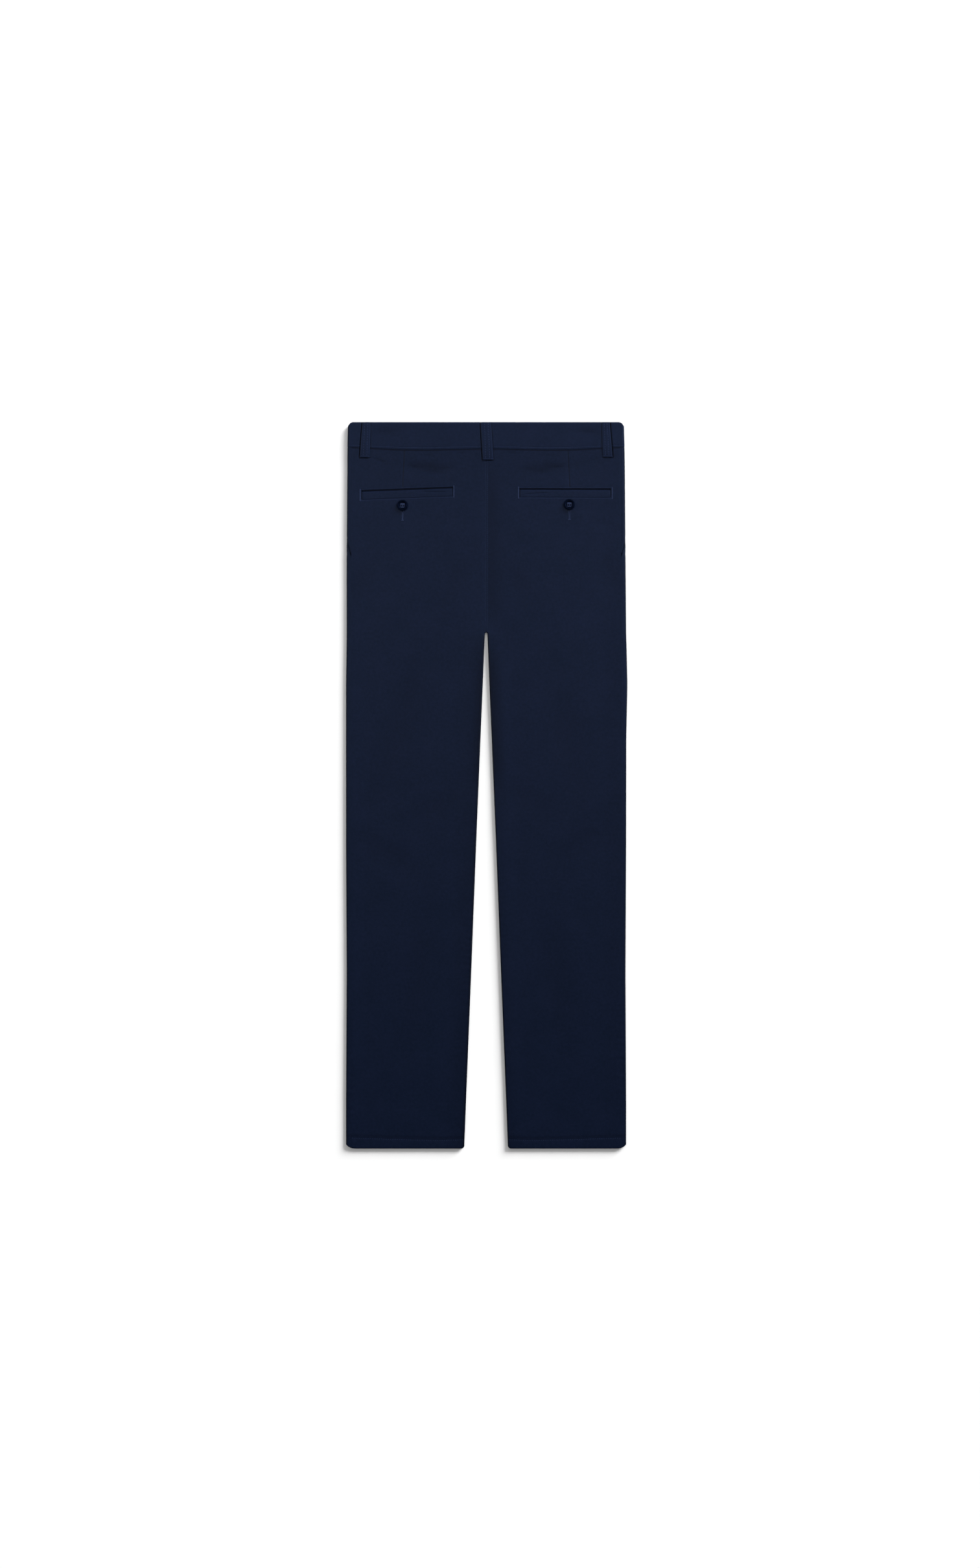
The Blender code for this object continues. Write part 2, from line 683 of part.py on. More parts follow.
def button(spot, z, face_up):
    """A four-hole button: a turned profile with a raised rim and a dished middle, drilled through."""
    inside_rim = BUTTON_RADIUS - BUTTON_RIM
    profile = (
        (0.0, BUTTON_THICK - BUTTON_DISH),
        (inside_rim - 0.9, BUTTON_THICK - BUTTON_DISH),
        (inside_rim, BUTTON_THICK - 0.15),
        (inside_rim + 0.5 * BUTTON_RIM, BUTTON_THICK),
        (BUTTON_RADIUS - 0.35, BUTTON_THICK - 0.35),
        (BUTTON_RADIUS, 0.5 * BUTTON_THICK),
        (BUTTON_RADIUS - 0.9, 0.15),
        (BUTTON_RADIUS - 2.2, 0.0),
        (0.0, 0.0),
    )
    bm = bmesh.new()
    points = [bm.verts.new((radius * MM, 0.0, height * MM)) for radius, height in profile]
    edges = [bm.edges.new(pair) for pair in zip(points, points[1:])]
    bmesh.ops.spin(
        bm, geom=points + edges, axis=(0, 0, 1), cent=(0, 0, 0), steps=BUTTON_SIDES, angle=2 * math.pi
    )
    bmesh.ops.remove_doubles(bm, verts=bm.verts, dist=0.01 * MM)
    body = bpy.data.objects.new(spot.name, finish_mesh(spot.name, bm))
    bpy.context.scene.collection.objects.link(body)
    body.location = place(spot.x, spot.drop, z)
    cutter = thread_holes(spot.name)
    cutter.location = body.location
    cut = body.modifiers.new("thread_holes", "BOOLEAN")
    cut.operation = "DIFFERENCE"
    cut.solver = "EXACT"
    cut.object = cutter
    if not face_up:
        body.data.transform(Matrix.Translation((0, 0, BUTTON_THICK * MM)) @ Matrix.Rotation(math.pi, 4, "X"))
    return body


def thread_holes(name):
    """The drill for a button's four holes."""
    bm = bmesh.new()
    for way_x in (-1, 1):
        for way_y in (-1, 1):
            drill = bmesh.ops.create_cone(
                bm,
                cap_ends=True,
                segments=8,
                radius1=BUTTON_HOLE_RADIUS * MM,
                radius2=BUTTON_HOLE_RADIUS * MM,
                depth=4 * BUTTON_THICK * MM,
            )
            offset = (way_x * BUTTON_HOLE_OFFSET * MM, way_y * BUTTON_HOLE_OFFSET * MM, 0)
            bmesh.ops.translate(bm, verts=drill["verts"], vec=offset)
    mesh = bpy.data.meshes.new(f"{name}_holes")
    bm.to_mesh(mesh)
    bm.free()
    drills = bpy.data.objects.new(f"{name}_holes", mesh)
    drills.hide_render = True
    drills.display_type = "WIRE"
    bpy.context.scene.collection.objects.link(drills)
    return drills


def height_for_button(spot):
    """Height at which a button clears the cloth beneath it."""
    heights = [back_surface(spot.x, spot.drop)]
    for turn in np.linspace(0.0, 2.0 * math.pi, 13):
        x = spot.x + BUTTON_RADIUS * math.cos(turn)
        heights.append(back_surface(x, spot.drop + BUTTON_RADIUS * math.sin(turn)))
    return max(heights) + SEAM_GAP


def material(name, colour, roughness):
    """A Principled material of one colour."""
    made = bpy.data.materials.new(name)
    made.use_nodes = True
    shader = made.node_tree.nodes["Principled BSDF"]
    shader.inputs["Base Color"].default_value = (*colour, 1.0)
    shader.inputs["Roughness"].default_value = roughness
    shader.inputs["Metallic"].default_value = 0.0
    return made


def add_piece(mesh, cloth):
    """Puts a mesh in the scene as an object of its own name and one material."""
    mesh.materials.append(cloth)
    bpy.context.scene.collection.objects.link(bpy.data.objects.new(mesh.name, mesh))


def build():
    """Makes every piece."""
    for old in list(bpy.data.objects):
        bpy.data.objects.remove(old)
    twill = material("navy_cotton_twill", (0.0105, 0.0152, 0.033), roughness=0.85)
    resin = material("navy_resin", (0.0035, 0.005, 0.012), roughness=0.3)
    for side in (LEFT, RIGHT):
        for make in (back_panel, front_panel, pocket_facing, waistband_half, welt):
            add_piece(make(side), twill)
    for loop in BACK_LOOPS:
        shares = (0.0, 0.03, 0.14, 0.3, 0.5, 0.7, 0.86, 0.97, 1.0)
        add_piece(belt_loop(loop, shares, over_waistband), twill)
    for loop in FRONT_LOOPS:
        add_piece(belt_loop(loop, (0.0, 0.03, 0.5, 0.97, 1.0), under_waistband), twill)
    for spot in BACK_BUTTONS:
        button(spot, height_for_button(spot), face_up=True).data.materials.append(resin)
    button(FRONT_BUTTON, 0.0, face_up=False).data.materials.append(resin)


build()
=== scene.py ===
"""Navy cotton chino trousers laid flat with their back up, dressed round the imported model.

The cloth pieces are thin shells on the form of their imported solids. A place on that form has a run,
the distance from the centre seams measured along the cloth, or across, the same distance in a straight
line, and a drop below the waist edge. Sizes are in millimetres and are turned into metres once, where a
mesh is made. The wearer's left is at -X.
"""

import logging
import math
from collections.abc import Callable, Sequence
from dataclasses import dataclass
from enum import Enum

import bpy
import numpy as np
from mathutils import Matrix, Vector


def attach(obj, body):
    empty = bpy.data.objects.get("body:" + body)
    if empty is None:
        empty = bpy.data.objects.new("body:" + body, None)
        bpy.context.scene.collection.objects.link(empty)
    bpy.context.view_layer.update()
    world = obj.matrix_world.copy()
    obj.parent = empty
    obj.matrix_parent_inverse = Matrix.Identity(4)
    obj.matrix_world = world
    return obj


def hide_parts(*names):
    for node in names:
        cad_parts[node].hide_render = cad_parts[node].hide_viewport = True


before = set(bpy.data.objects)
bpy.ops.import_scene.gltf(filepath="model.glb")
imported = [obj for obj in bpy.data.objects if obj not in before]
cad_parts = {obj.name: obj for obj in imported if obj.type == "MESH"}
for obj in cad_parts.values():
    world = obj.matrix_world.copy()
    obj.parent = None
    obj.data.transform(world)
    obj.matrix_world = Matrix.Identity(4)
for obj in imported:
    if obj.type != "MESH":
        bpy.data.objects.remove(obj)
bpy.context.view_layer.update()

log = logging.getLogger("chinos")

Array = np.ndarray
Surface = Callable[[Array, Array], Array]
Piece = bpy.types.Object
Tree = bpy.types.NodeTree
Node = bpy.types.Node
Socket = bpy.types.NodeSocket
Material = bpy.types.Material

MM = 0.001
LENGTH = 1076.0
CROTCH_DROP = 312.5
# The right side reaches out further, so the centre seams lie this far left of the origin
SEAMS_OFF_CENTRE = 0.95
CLOTH_WALL = 1.0
# Shifts over which the corners in a row of sizes are eased
EASING = (-6.0, -3.0, 0.0, 3.0, 6.0)
# The furthest that an inner edge rolls in, in radians
INNER_TURN = 2.0
# The angle between faces up to which cloth is shaded as one soft face
SOFT_ANGLE = math.radians(50)


class Side(Enum):
    """The wearer's side that a piece belongs to."""

    LEFT = -1
    RIGHT = 1

    @property
    def label(self) -> str:
        """The side's name as the nodes have it."""
        return self.name.lower()


class Edge(Enum):
    """An edge of a leg along which the cloth is drawn up."""

    INNER = "inner"
    OUTER = "outer"


def smooth(t: Array | float) -> Array:
    """0 below 0, 1 above 1, and a soft S between."""
    t = np.clip(t, 0.0, 1.0)
    return t * t * (3.0 - 2.0 * t)


def fall(t: Array | float) -> Array:
    """1 below 0, 0 above 1, and a soft S between."""
    return 1.0 - smooth(t)


def bump(offset: Array | float, reach: float) -> Array:
    """1 at no offset, falling to nothing about one and a half reaches away."""
    return np.exp(-((np.asarray(offset) / reach) ** 2))


def fade(distance: Array | float, reach: float) -> Array:
    """1 at an edge, falling to 0 at the reach as a quarter round does."""
    return np.clip(1.0 - np.asarray(distance) / reach, 0.0, 1.0) ** 2


def corner(distance: Array, rise: float, reach: float, power: float) -> Array:
    """How far an edge has moved at a distance from its corner: all the rise there, none past the reach."""
    return rise * np.clip(1.0 - distance / reach, 0.0, 1.0) ** power


def spaced(*spans: tuple[float, float, float]) -> Array:
    """Positions at even steps in each span, with every span's two ends among them.

    Args:
        spans: first position, last position and the step wanted between.

    Returns:
        The positions in rising order, each once.
    """
    made = []
    for first, last, step in spans:
        made.append(np.linspace(first, last, max(1, round((last - first) / step)) + 1))
    return np.unique(np.round(np.concatenate(made), 4))


def warped(columns: Array, anchors: Sequence[float], actual: Sequence[Array]) -> Array:
    """Moves the columns between the anchors with the anchors.

    Args:
        columns: each column's nominal run.
        anchors: the anchors' nominal runs, in rising order.
        actual: the run of each anchor at every point of the grid.

    Returns:
        The run of every point of the grid.
    """
    run = np.empty_like(actual[0])
    for k in range(len(anchors) - 1):
        inside = (columns >= anchors[k]) & (columns <= anchors[k + 1])
        share = (columns[inside] - anchors[k]) / (anchors[k + 1] - anchors[k])
        run[:, inside] = actual[k][:, inside] * (1.0 - share) + actual[k + 1][:, inside] * share
    return run


@dataclass(frozen=True)
class Fold:
    """A soft trough (positive depth) or ridge (negative depth) in the cloth."""

    run: float
    drop: float
    turn: float
    length: float
    width: float
    depth: float
    side: Side | None = None

    def at(self, side: Side, run: Array, drop: Array) -> Array:
        """Depth of this fold at places of one side, whose positive turn lowers its outer end.

        Args:
            side: the wearer's side.
            run: runs of the places.
            drop: drops of the places.

        Returns:
            The depth in millimetres.
        """
        if self.side not in (None, side):
            return np.zeros_like(run)
        angle = math.radians(self.turn)
        dx, dy = run - self.run, drop - self.drop
        lengthwise = dx * math.cos(angle) + dy * math.sin(angle)
        crosswise = -dx * math.sin(angle) + dy * math.cos(angle)
        reach = (2.0 * lengthwise / self.length) ** 2 + (2.0 * crosswise / self.width) ** 2
        return self.depth * np.exp(-1.6 * reach)


@dataclass(frozen=True)
class Pucker:
    """Short ripples along one edge, where its seam draws the cloth up."""

    edge: Edge
    start: float
    end: float
    reach: float
    pitch: float
    height: float

    def at(self, side: Side, from_edge: Array, drop: Array) -> Array:
        """Height of the ripples at places this far in from the edge.

        Args:
            side: the wearer's side.
            from_edge: distance of each place from the edge.
            drop: drops of the places.

        Returns:
            The height in millimetres.
        """
        turns = 2.0 * math.pi * drop / self.pitch
        lean = 0.9 * from_edge / self.reach
        wave = np.sin(turns + lean + side.value) + 0.55 * np.sin(0.61 * turns + 1.3 * side.value)
        wave += 0.35 * np.sin(1.71 * turns - lean)
        length = self.end - self.start
        along = smooth((drop - self.start) / (0.2 * length)) * smooth((self.end - drop) / (0.2 * length))
        uneven = 0.6 + 0.4 * np.sin(drop / 37.0 + side.value)
        return self.height * wave * along * uneven * bump(from_edge - 0.3 * self.reach, 0.55 * self.reach)


# Each fold's run, drop, turn, length, width and depth, and its side where the other has none
FOLDS = (
    Fold(86, 69, -5, 80, 20, 0.9, Side.LEFT),
    Fold(84, 70, -7, 84, 20, 0.9, Side.RIGHT),
    Fold(63, 162, 0, 70, 26, -0.4),
    Fold(190, 234, 66, 70, 30, 0.4),
    Fold(46, 232, 58, 100, 34, 0.4),
    Fold(26, 440, 88, 190, 30, -0.4),
    Fold(128, 446, 74, 220, 56, 0.45, Side.LEFT),
    Fold(118, 468, 80, 240, 58, 0.45, Side.RIGHT),
    Fold(66, 562, 36, 110, 44, 0.4),
    Fold(150, 640, -30, 130, 50, 0.4, Side.LEFT),
    Fold(144, 622, -26, 120, 50, 0.4, Side.RIGHT),
    Fold(104, 830, 82, 250, 56, 0.4),
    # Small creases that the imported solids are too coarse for
    Fold(150, 15.5, 4, 44, 12, 0.6),
    Fold(156, 58, -22, 30, 5, 0.3),
    Fold(106, 67, -9, 26, 6, 0.45),
    Fold(80, 74, -7, 34, 7, 0.5),
    Fold(62, 70, 8, 28, 6, 0.3),
    Fold(38, 46, 4, 22, 5, 0.25),
    Fold(88, 50, -6, 30, 6, 0.2),
    Fold(52, 86, -24, 26, 6, 0.22),
    Fold(116, 136, 38, 22, 5, 0.2),
    Fold(176, 152, 20, 36, 12, 0.18),
    Fold(40, 1046, -52, 20, 5, 0.25),
)

# Each row of ripples: its edge, its first and last drop, its reach, pitch and height
PUCKERS = (
    Pucker(Edge.INNER, 520, 1030, 12, 9.6, 0.13),
    Pucker(Edge.INNER, 330, 560, 10, 12.5, 0.08),
    Pucker(Edge.OUTER, 860, 1050, 14, 10.2, 0.17),
    Pucker(Edge.OUTER, 110, 880, 9, 14.0, 0.05),
)


@dataclass(frozen=True)
class LaidForm:
    """The form that the trousers are laid to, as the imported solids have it."""

    drops: tuple[float, ...] = (0, 38, 65, 200, 312.5, 316, 336, 388, 468, 624, 816, 1006, 1050, 1076)
    left: tuple[float, ...] = (
        204.5, 205.4, 205.4, 206.4, 206.4, 206.4, 206.6, 207.4, 207.4, 207.4, 206.4, 207.4, 207.4, 207.4,
    )
    right: tuple[float, ...] = (
        204.0, 205.0, 205.4, 206.4, 207.4, 207.5, 208.1, 209.3, 207.6, 207.4, 206.4, 207.4, 207.4, 207.4,
    )
    # The legs part at the crotch all at once
    inner_drops: tuple[float, ...] = (0, 311.4, 312.2, 313, 316, 336, 388, 468, 624, 816, 1006, 1050, 1076)
    inner: tuple[float, ...] = (0, 0, 1.3, 1.9, 2.1, 2.75, 4.8, 8.2, 14.6, 22.0, 29.6, 31.3, 32.3)
    height: tuple[float, ...] = (6.4, 6.4, 5.8, 5.7, 5.4, 5.4, 5.3, 5.2, 5.1, 5.0, 4.9, 4.9, 4.9, 4.9)
    sag: tuple[float, ...] = (0, 0.1, 0.4, 0.5, 0.7, 0.7, 0.8, 0.9, 0.9, 0.9, 0.9, 0.7, 0.3, 0.1)
    seam_runs: tuple[float, ...] = (0, 49.3, 87.9, 126.6, 165.2, 184.5, 207)
    seam_drops: tuple[float, ...] = (39.0, 40.1, 41.0, 40.6, 38.8, 37.6, 36.8)
    side_roll: float = 6.5
    edge_slope: float = 30.0
    tuck_length: float = 3.5
    tuck_at_waist: float = 0.1
    front_drop: float = 14.0
    front_drop_reach: float = 196.0
    fly_lap: float = 4.0
    fly_end: float = 226.0
    # The hem's two corners: how far each curves up, its reach and its power
    hem_outer: tuple[float, float, float] = (5.6, 15.0, 2.6)
    hem_inner: tuple[float, float, float] = (2.6, 4.5, 2.0)

    def level(self, drop: Array, column: str) -> Array:
        """One of the outline's rows of sizes at a drop, with its corners eased."""
        sizes = getattr(self, column)
        return sum(np.interp(drop + shift, self.drops, sizes) for shift in EASING) / len(EASING)

    def side_edge(self, side: Side, drop: Array) -> Array:
        """Distance from the centre seams to the folded side."""
        return self.level(drop, side.label)

    def inner_edge(self, drop: Array) -> Array:
        """Distance from the centre seams to the inner edge of a leg."""
        return np.interp(drop, self.inner_drops, self.inner)

    def radius(self, drop: Array) -> Array:
        """Outer radius of the rolled edges."""
        return 0.5 * self.level(drop, "height")

    def back_seam(self, across: Array) -> Array:
        """Drop of the waist seam on the back."""
        seams = [np.interp(np.abs(across + shift), self.seam_runs, self.seam_drops) for shift in EASING]
        return sum(seams) / len(EASING)

    def front_dip(self, across: Array) -> Array:
        """How far the front's waist edge lies below the back's."""
        return self.front_drop * fall(np.abs(across) / self.front_drop_reach)

    def front_seam(self, across: Array) -> Array:
        """Drop of the waist seam on the front."""
        return self.back_seam(across) + self.front_dip(across)

    def tuck(self, drop: Array, at_waist: float) -> Array:
        """How far the inner edge is turned down: 0 lies flat, 1 is a leg's folded inseam."""
        share = smooth((drop - CROTCH_DROP + self.tuck_length) / self.tuck_length)
        return at_waist + (1.0 - at_waist) * share

    def legs_parted(self, drop: Array) -> Array:
        """0 on the seat and 1 on the legs, rising over the last of the seat."""
        return smooth((drop - CROTCH_DROP + 45.0) / 60.0)

    def centre_back(self, side: Side, across: Array, drop: Array) -> Array:
        """Relief beside the centre back seam, whose turnings lie under the left panel.

        Args:
            side: the wearer's side.
            across: distances of the places, straight across.
            drop: drops of the places.

        Returns:
            The depth in millimetres.
        """
        here = smooth((drop - 46.0) / 90.0) * fall((drop - 286.0) / 40.0)
        if side is Side.LEFT:
            return here * (0.25 * fall((across - 8.0) / 26.0) + 0.3 * fall(across / 8.0))
        return here * 0.7 * fall(across / 27.0)

    def relief(self, side: Side, across: Array, drop: Array) -> Array:
        """How far folds, creases and ripples lower the upper face at a place.

        Args:
            side: the wearer's side.
            across: distances of the places, straight across.
            drop: drops of the places.

        Returns:
            The depth in millimetres.
        """
        total = sum(fold.at(side, across, drop) for fold in FOLDS)
        from_edges = {
            Edge.INNER: across - self.inner_edge(drop),
            Edge.OUTER: self.side_edge(side, drop) - across,
        }
        total = total - sum(pucker.at(side, from_edges[pucker.edge], drop) for pucker in PUCKERS)
        total = total + self.centre_back(side, across, drop)
        # The waistband's lower half is drawn into short upright ripples by the seam below it
        above = self.back_seam(across) - drop
        ripple = np.sin(across / 1.75 + side.value) + 0.7 * np.sin(across / 2.9)
        total = total - 0.05 * ripple * bump(above - 7.0, 6.0)
        # The inside of the thigh falls away towards the leg's inner edge
        thigh = smooth((drop - 330.0) / 60.0) * fall((drop - 520.0) / 90.0)
        return total + 0.5 * thigh * fall(from_edges[Edge.INNER] / 20.0)

    def dip_of_top(self, side: Side, across: Array, drop: Array) -> Array:
        """How far the upper face lies below the height of the rolled edges.

        Args:
            side: the wearer's side.
            across: distances of the places, straight across.
            drop: drops of the places.

        Returns:
            The depth in millimetres.
        """
        radius = self.radius(drop)
        ease = smooth((self.side_edge(side, drop) - radius - across) / self.edge_slope)
        from_inner = across - self.inner_edge(drop) - radius
        ease = ease * (1.0 - self.legs_parted(drop) * fall(from_inner / self.edge_slope))
        return self.level(drop, "sag") * ease + self.relief(side, across, drop)

    def top(self, side: Side, across: Array, drop: Array) -> Array:
        """Height of the back's upper face away from the rolled edges."""
        return 2.0 * self.radius(drop) - self.dip_of_top(side, across, drop)

    def fly_line(self, side: Side, drop: Array) -> Array:
        """Where a front starts beside the centre front, with the left lapped over the right."""
        return side.value * self.fly_lap * fall((drop - self.fly_end) / 12.0)

    def inner_roll(self, side: Side, drop: Array, on_front: bool) -> tuple[Array, Array]:
        """A panel's inner edge: the run where its roll begins and the run where its cut ends.

        Args:
            side: the wearer's side.
            drop: drops of the places.
            on_front: whether the panel is a front.

        Returns:
            The two runs at each drop.
        """
        radius = self.radius(drop)
        start = self.inner_edge(drop)
        if on_front:
            start = start + self.fly_line(side, drop)
        angle = 0.5 * math.pi * self.tuck(drop, 0.0 if on_front else self.tuck_at_waist)
        middle = start + radius * np.sin(angle)
        return middle, middle - radius * angle

    def side_end(self, side: Side, drop: Array, on_front: bool) -> Array:
        """The run of a panel's cut at the side seam.

        Args:
            side: the wearer's side.
            drop: drops of the places.
            on_front: whether the panel is a front.

        Returns:
            The run at each drop.
        """
        edge = self.side_edge(side, drop)
        if not on_front:
            return edge - self.side_roll
        radius = self.radius(drop)
        return edge - radius + math.pi * radius + self.side_roll - radius

    def back_point(self, side: Side, run: Array, drop: Array, depth: Array) -> tuple[Array, Array]:
        """Distance across and height of places on the back, depth below its outer face.

        Args:
            side: the wearer's side.
            run: runs of the places.
            drop: drops of the places.
            depth: how deep each place lies inside the outer face.

        Returns:
            Each place's distance across and its height.
        """
        radius = self.radius(drop)
        middle, _ = self.inner_roll(side, drop, on_front=False)
        turn = np.clip((middle - run) / radius, 0.0, INNER_TURN)
        rolled = turn > 0.0
        across = np.where(rolled, middle - (radius - depth) * np.sin(turn), run)
        z = np.where(rolled, radius + (radius - depth) * np.cos(turn), 2.0 * radius - depth)
        share = np.where(rolled, np.cos(turn), 1.0)
        return across, z - share * self.dip_of_top(side, across, drop)

    def front_point(self, side: Side, run: Array, drop: Array, depth: Array) -> tuple[Array, Array]:
        """Distance across and height of places on the front, depth inside its outer face.

        Args:
            side: the wearer's side.
            run: runs of the places.
            drop: drops of the places.
            depth: how deep each place lies inside the outer face.

        Returns:
            Each place's distance across and its height.
        """
        radius = self.radius(drop)
        fold = self.side_edge(side, drop) - radius
        turn = np.clip((run - fold) / radius, 0.0, math.pi)
        flat = run < fold
        over = run > fold + math.pi * radius
        across = np.where(flat, run, fold + (radius - depth) * np.sin(turn))
        across = np.where(over, fold - (run - fold - math.pi * radius), across)
        z = radius - (radius - depth) * np.cos(turn)
        z = z - np.maximum(0.0, -np.cos(turn)) * self.dip_of_top(side, across, drop)
        middle, _ = self.inner_roll(side, drop, on_front=True)
        inward = np.clip((middle - run) / radius, 0.0, INNER_TURN)
        rolled = inward > 0.0
        across = np.where(rolled, middle - (radius - depth) * np.sin(inward), across)
        return across, np.where(rolled, radius - (radius - depth) * np.cos(inward), z)

    def hem_lift(self, side: Side, across: Array) -> Array:
        """How far the hem's two corners curve up, at places across a leg.

        Args:
            side: the wearer's side.
            across: distances of the places, straight across.

        Returns:
            The lift in millimetres.
        """
        from_outer = self.side_edge(side, HEM) - across
        from_inner = across - self.inner_edge(HEM)
        return np.maximum(corner(from_outer, *self.hem_outer), corner(from_inner, *self.hem_inner))

    def row_drop(self, side: Side, across: Array, row: Array, on_front: bool) -> Array:
        """Drop of a panel's rows: they follow the waist seam at one end and the hem at the other.

        Args:
            side: the wearer's side.
            across: distances of the places, straight across.
            row: nominal row of each place.
            on_front: whether the panel is a front.

        Returns:
            The drop of each place.
        """
        seam = self.front_seam if on_front else self.back_seam
        at_centre = seam(CENTRE)
        near_waist = fall((row - at_centre - 0.3) / 60.0)
        near_hem = smooth((row - LENGTH + 60.0) / 60.0)
        return row + (seam(across) - at_centre) * near_waist - self.hem_lift(side, across) * near_hem


FORM = LaidForm()
# The centre line's run, and the drops of the waist edge and the hem, as the form's methods take them
CENTRE = np.array(0.0)
WAIST = np.array(0.0)
HEM = np.array(LENGTH)


def place(side: Side, across: Array, drop: Array, z: Array) -> Array:
    """Points in metres in the part's frame."""
    x = side.value * across - SEAMS_OFF_CENTRE
    return np.stack(np.broadcast_arrays(x, 0.5 * LENGTH - drop, z), axis=-1) * MM


@dataclass(frozen=True)
class BackPocket:
    """The window in a back panel that its welt fills. Its outer end may hang lower."""

    side: Side
    inner_drop: float
    outer_drop: float
    depth: float
    inner_run: float = 49.3
    outer_run: float = 184.5
    fade_out: float = 40.0

    def tilt(self, run: Array, drop: Array) -> Array:
        """How far a place is moved down to run along the tilted pocket.

        Args:
            run: runs of the places.
            drop: drops of the places.

        Returns:
            How far down each place is moved.
        """
        shift = self.shift(run)
        off = np.abs(drop - self.inner_drop - shift) - self.depth
        return shift * fall(off / self.fade_out)

    def shift(self, run: Array) -> Array:
        """How far the pocket hangs lower at a run than at its inner end."""
        share = (run - self.inner_run) / (self.outer_run - self.inner_run)
        return share * (self.outer_drop - self.inner_drop)

    def outside(self, run: Array, drop: Array) -> Array:
        """Distance of places from the window's edge, outside it.

        Args:
            run: runs of the places.
            drop: drops of the places.

        Returns:
            The distance, 0 inside the window.
        """
        top = self.inner_drop + self.shift(run)
        dx = np.maximum(np.maximum(self.inner_run - run, run - self.outer_run), 0.0)
        dy = np.maximum(np.maximum(top - drop, drop - top - self.depth), 0.0)
        return np.hypot(dx, dy)


POCKETS = {
    Side.LEFT: BackPocket(Side.LEFT, inner_drop=95.8, outer_drop=101.0, depth=13.4),
    Side.RIGHT: BackPocket(Side.RIGHT, inner_drop=98.0, outer_drop=98.4, depth=12.8),
}


def inseam_groove(from_cut: Array, drop: Array) -> Array:
    """How far a panel's inner edge is pressed in, but for the crotch, where four edges meet."""
    return 0.16 * fade(from_cut, 1.5) * np.clip((np.abs(drop - CROTCH_DROP) - 8.0) / 20.0, 0.0, 1.0)


def dart_run(drop: Array) -> Array:
    """Run of the dart that closes from the waist seam to the pocket."""
    return 121.0 + 2.8 * np.clip((drop - 40.0) / 56.0, 0.0, 1.0)


@dataclass(frozen=True)
class LoopPlace:
    """A belt loop's place. x is measured from the centre seams."""

    name: str
    x_top: float
    x_end: float
    width_top: float
    width_end: float
    top: float
    end: float
    # Crosswise places of its two stitch columns, from -1 to 1, at its top and at its end
    columns_top: tuple[float, float] = (-0.37, 0.36)
    columns_end: tuple[float, float] = (-0.34, 0.40)

    def middle(self, share: Array) -> Array:
        """x of its centre line at a share of its length."""
        return self.x_top + share * (self.x_end - self.x_top)

    def half_width(self, share: Array) -> Array:
        """Half its width at a share of its length."""
        return 0.5 * (self.width_top + share * (self.width_end - self.width_top))

    def trench(self, x: Array, drop: Array) -> Array:
        """How far the cloth is pressed down in a narrow line along the loop's two sides.

        Args:
            x: distance to the right of the centre seams.
            drop: drops of the places.

        Returns:
            A share of the line's full depth, which also sets its painted shade.
        """
        share = np.clip((drop - self.top) / (self.end - self.top), 0.0, 1.0)
        beyond = bump(np.maximum(drop - self.end, 0.0), 1.2)
        from_middle = x - self.middle(share)
        outer_way = -1.0 if self.x_top <= 0 else 1.0
        outer = bump(from_middle * outer_way - self.half_width(share) - 0.5, 0.95)
        inner = bump(-from_middle * outer_way - self.half_width(share) - 0.45, 0.7)
        below = bump(drop - self.end - 0.4, 0.7) * (np.abs(from_middle) < self.half_width(share))
        return beyond * np.maximum(outer, 0.3 * inner) + 0.7 * below


LOOP_TOP = 0.9
# How dark the painted shade is in the pressed lines beside the loops
TRENCH_SHADE = 1.3
# How far the front is raised over a belt loop and over its button, and how far round them it stays so
LOOP_LIFT = 1.6
BUTTON_LIFT = 2.5
LIFT_MARGIN = 1.6

BACK_LOOPS = (
    LoopPlace("loop_back_left", -177.2, -179.8, 12.0, 14.8, top=LOOP_TOP, end=52.4),
    LoopPlace(
        "loop_back_centre", -0.6, 2.9, 15.4, 16.0, top=LOOP_TOP, end=55.9,
        columns_top=(-0.22, 0.50), columns_end=(-0.44, 0.33),
    ),
    LoopPlace(
        "loop_back_right", 177.0, 179.8, 11.6, 14.6, top=LOOP_TOP, end=51.9,
        columns_top=(-0.36, 0.37), columns_end=(-0.40, 0.34),
    ),
)


def front_loop(side: Side) -> LoopPlace:
    """The belt loop on one side of the front, under the garment.

    Args:
        side: the wearer's side.

    Returns:
        The loop's place.
    """
    run, hang = 112.5, 13.0
    return LoopPlace(
        f"loop_front_{side.label}", side.value * run, side.value * run, 15.0, 15.0,
        top=float(FORM.front_dip(np.array(run))) + LOOP_TOP,
        end=float(FORM.front_seam(np.array(run))) + hang,
    )


FRONT_LOOPS = (front_loop(Side.LEFT), front_loop(Side.RIGHT))


@dataclass(frozen=True)
class ButtonPlace:
    """A button's centre and its size. x is measured from the centre seams."""

    name: str
    x: float
    drop: float
    face_up: bool = True
    radius: float = 8.0
    thick: float = 2.2


BACK_BUTTONS = (
    ButtonPlace("button_back_left", x=-123.8, drop=123.2),
    ButtonPlace("button_back_right", x=123.2, drop=122.0),
)
FRONT_BUTTON = ButtonPlace("button_front", x=19.0, drop=33.0, face_up=False)


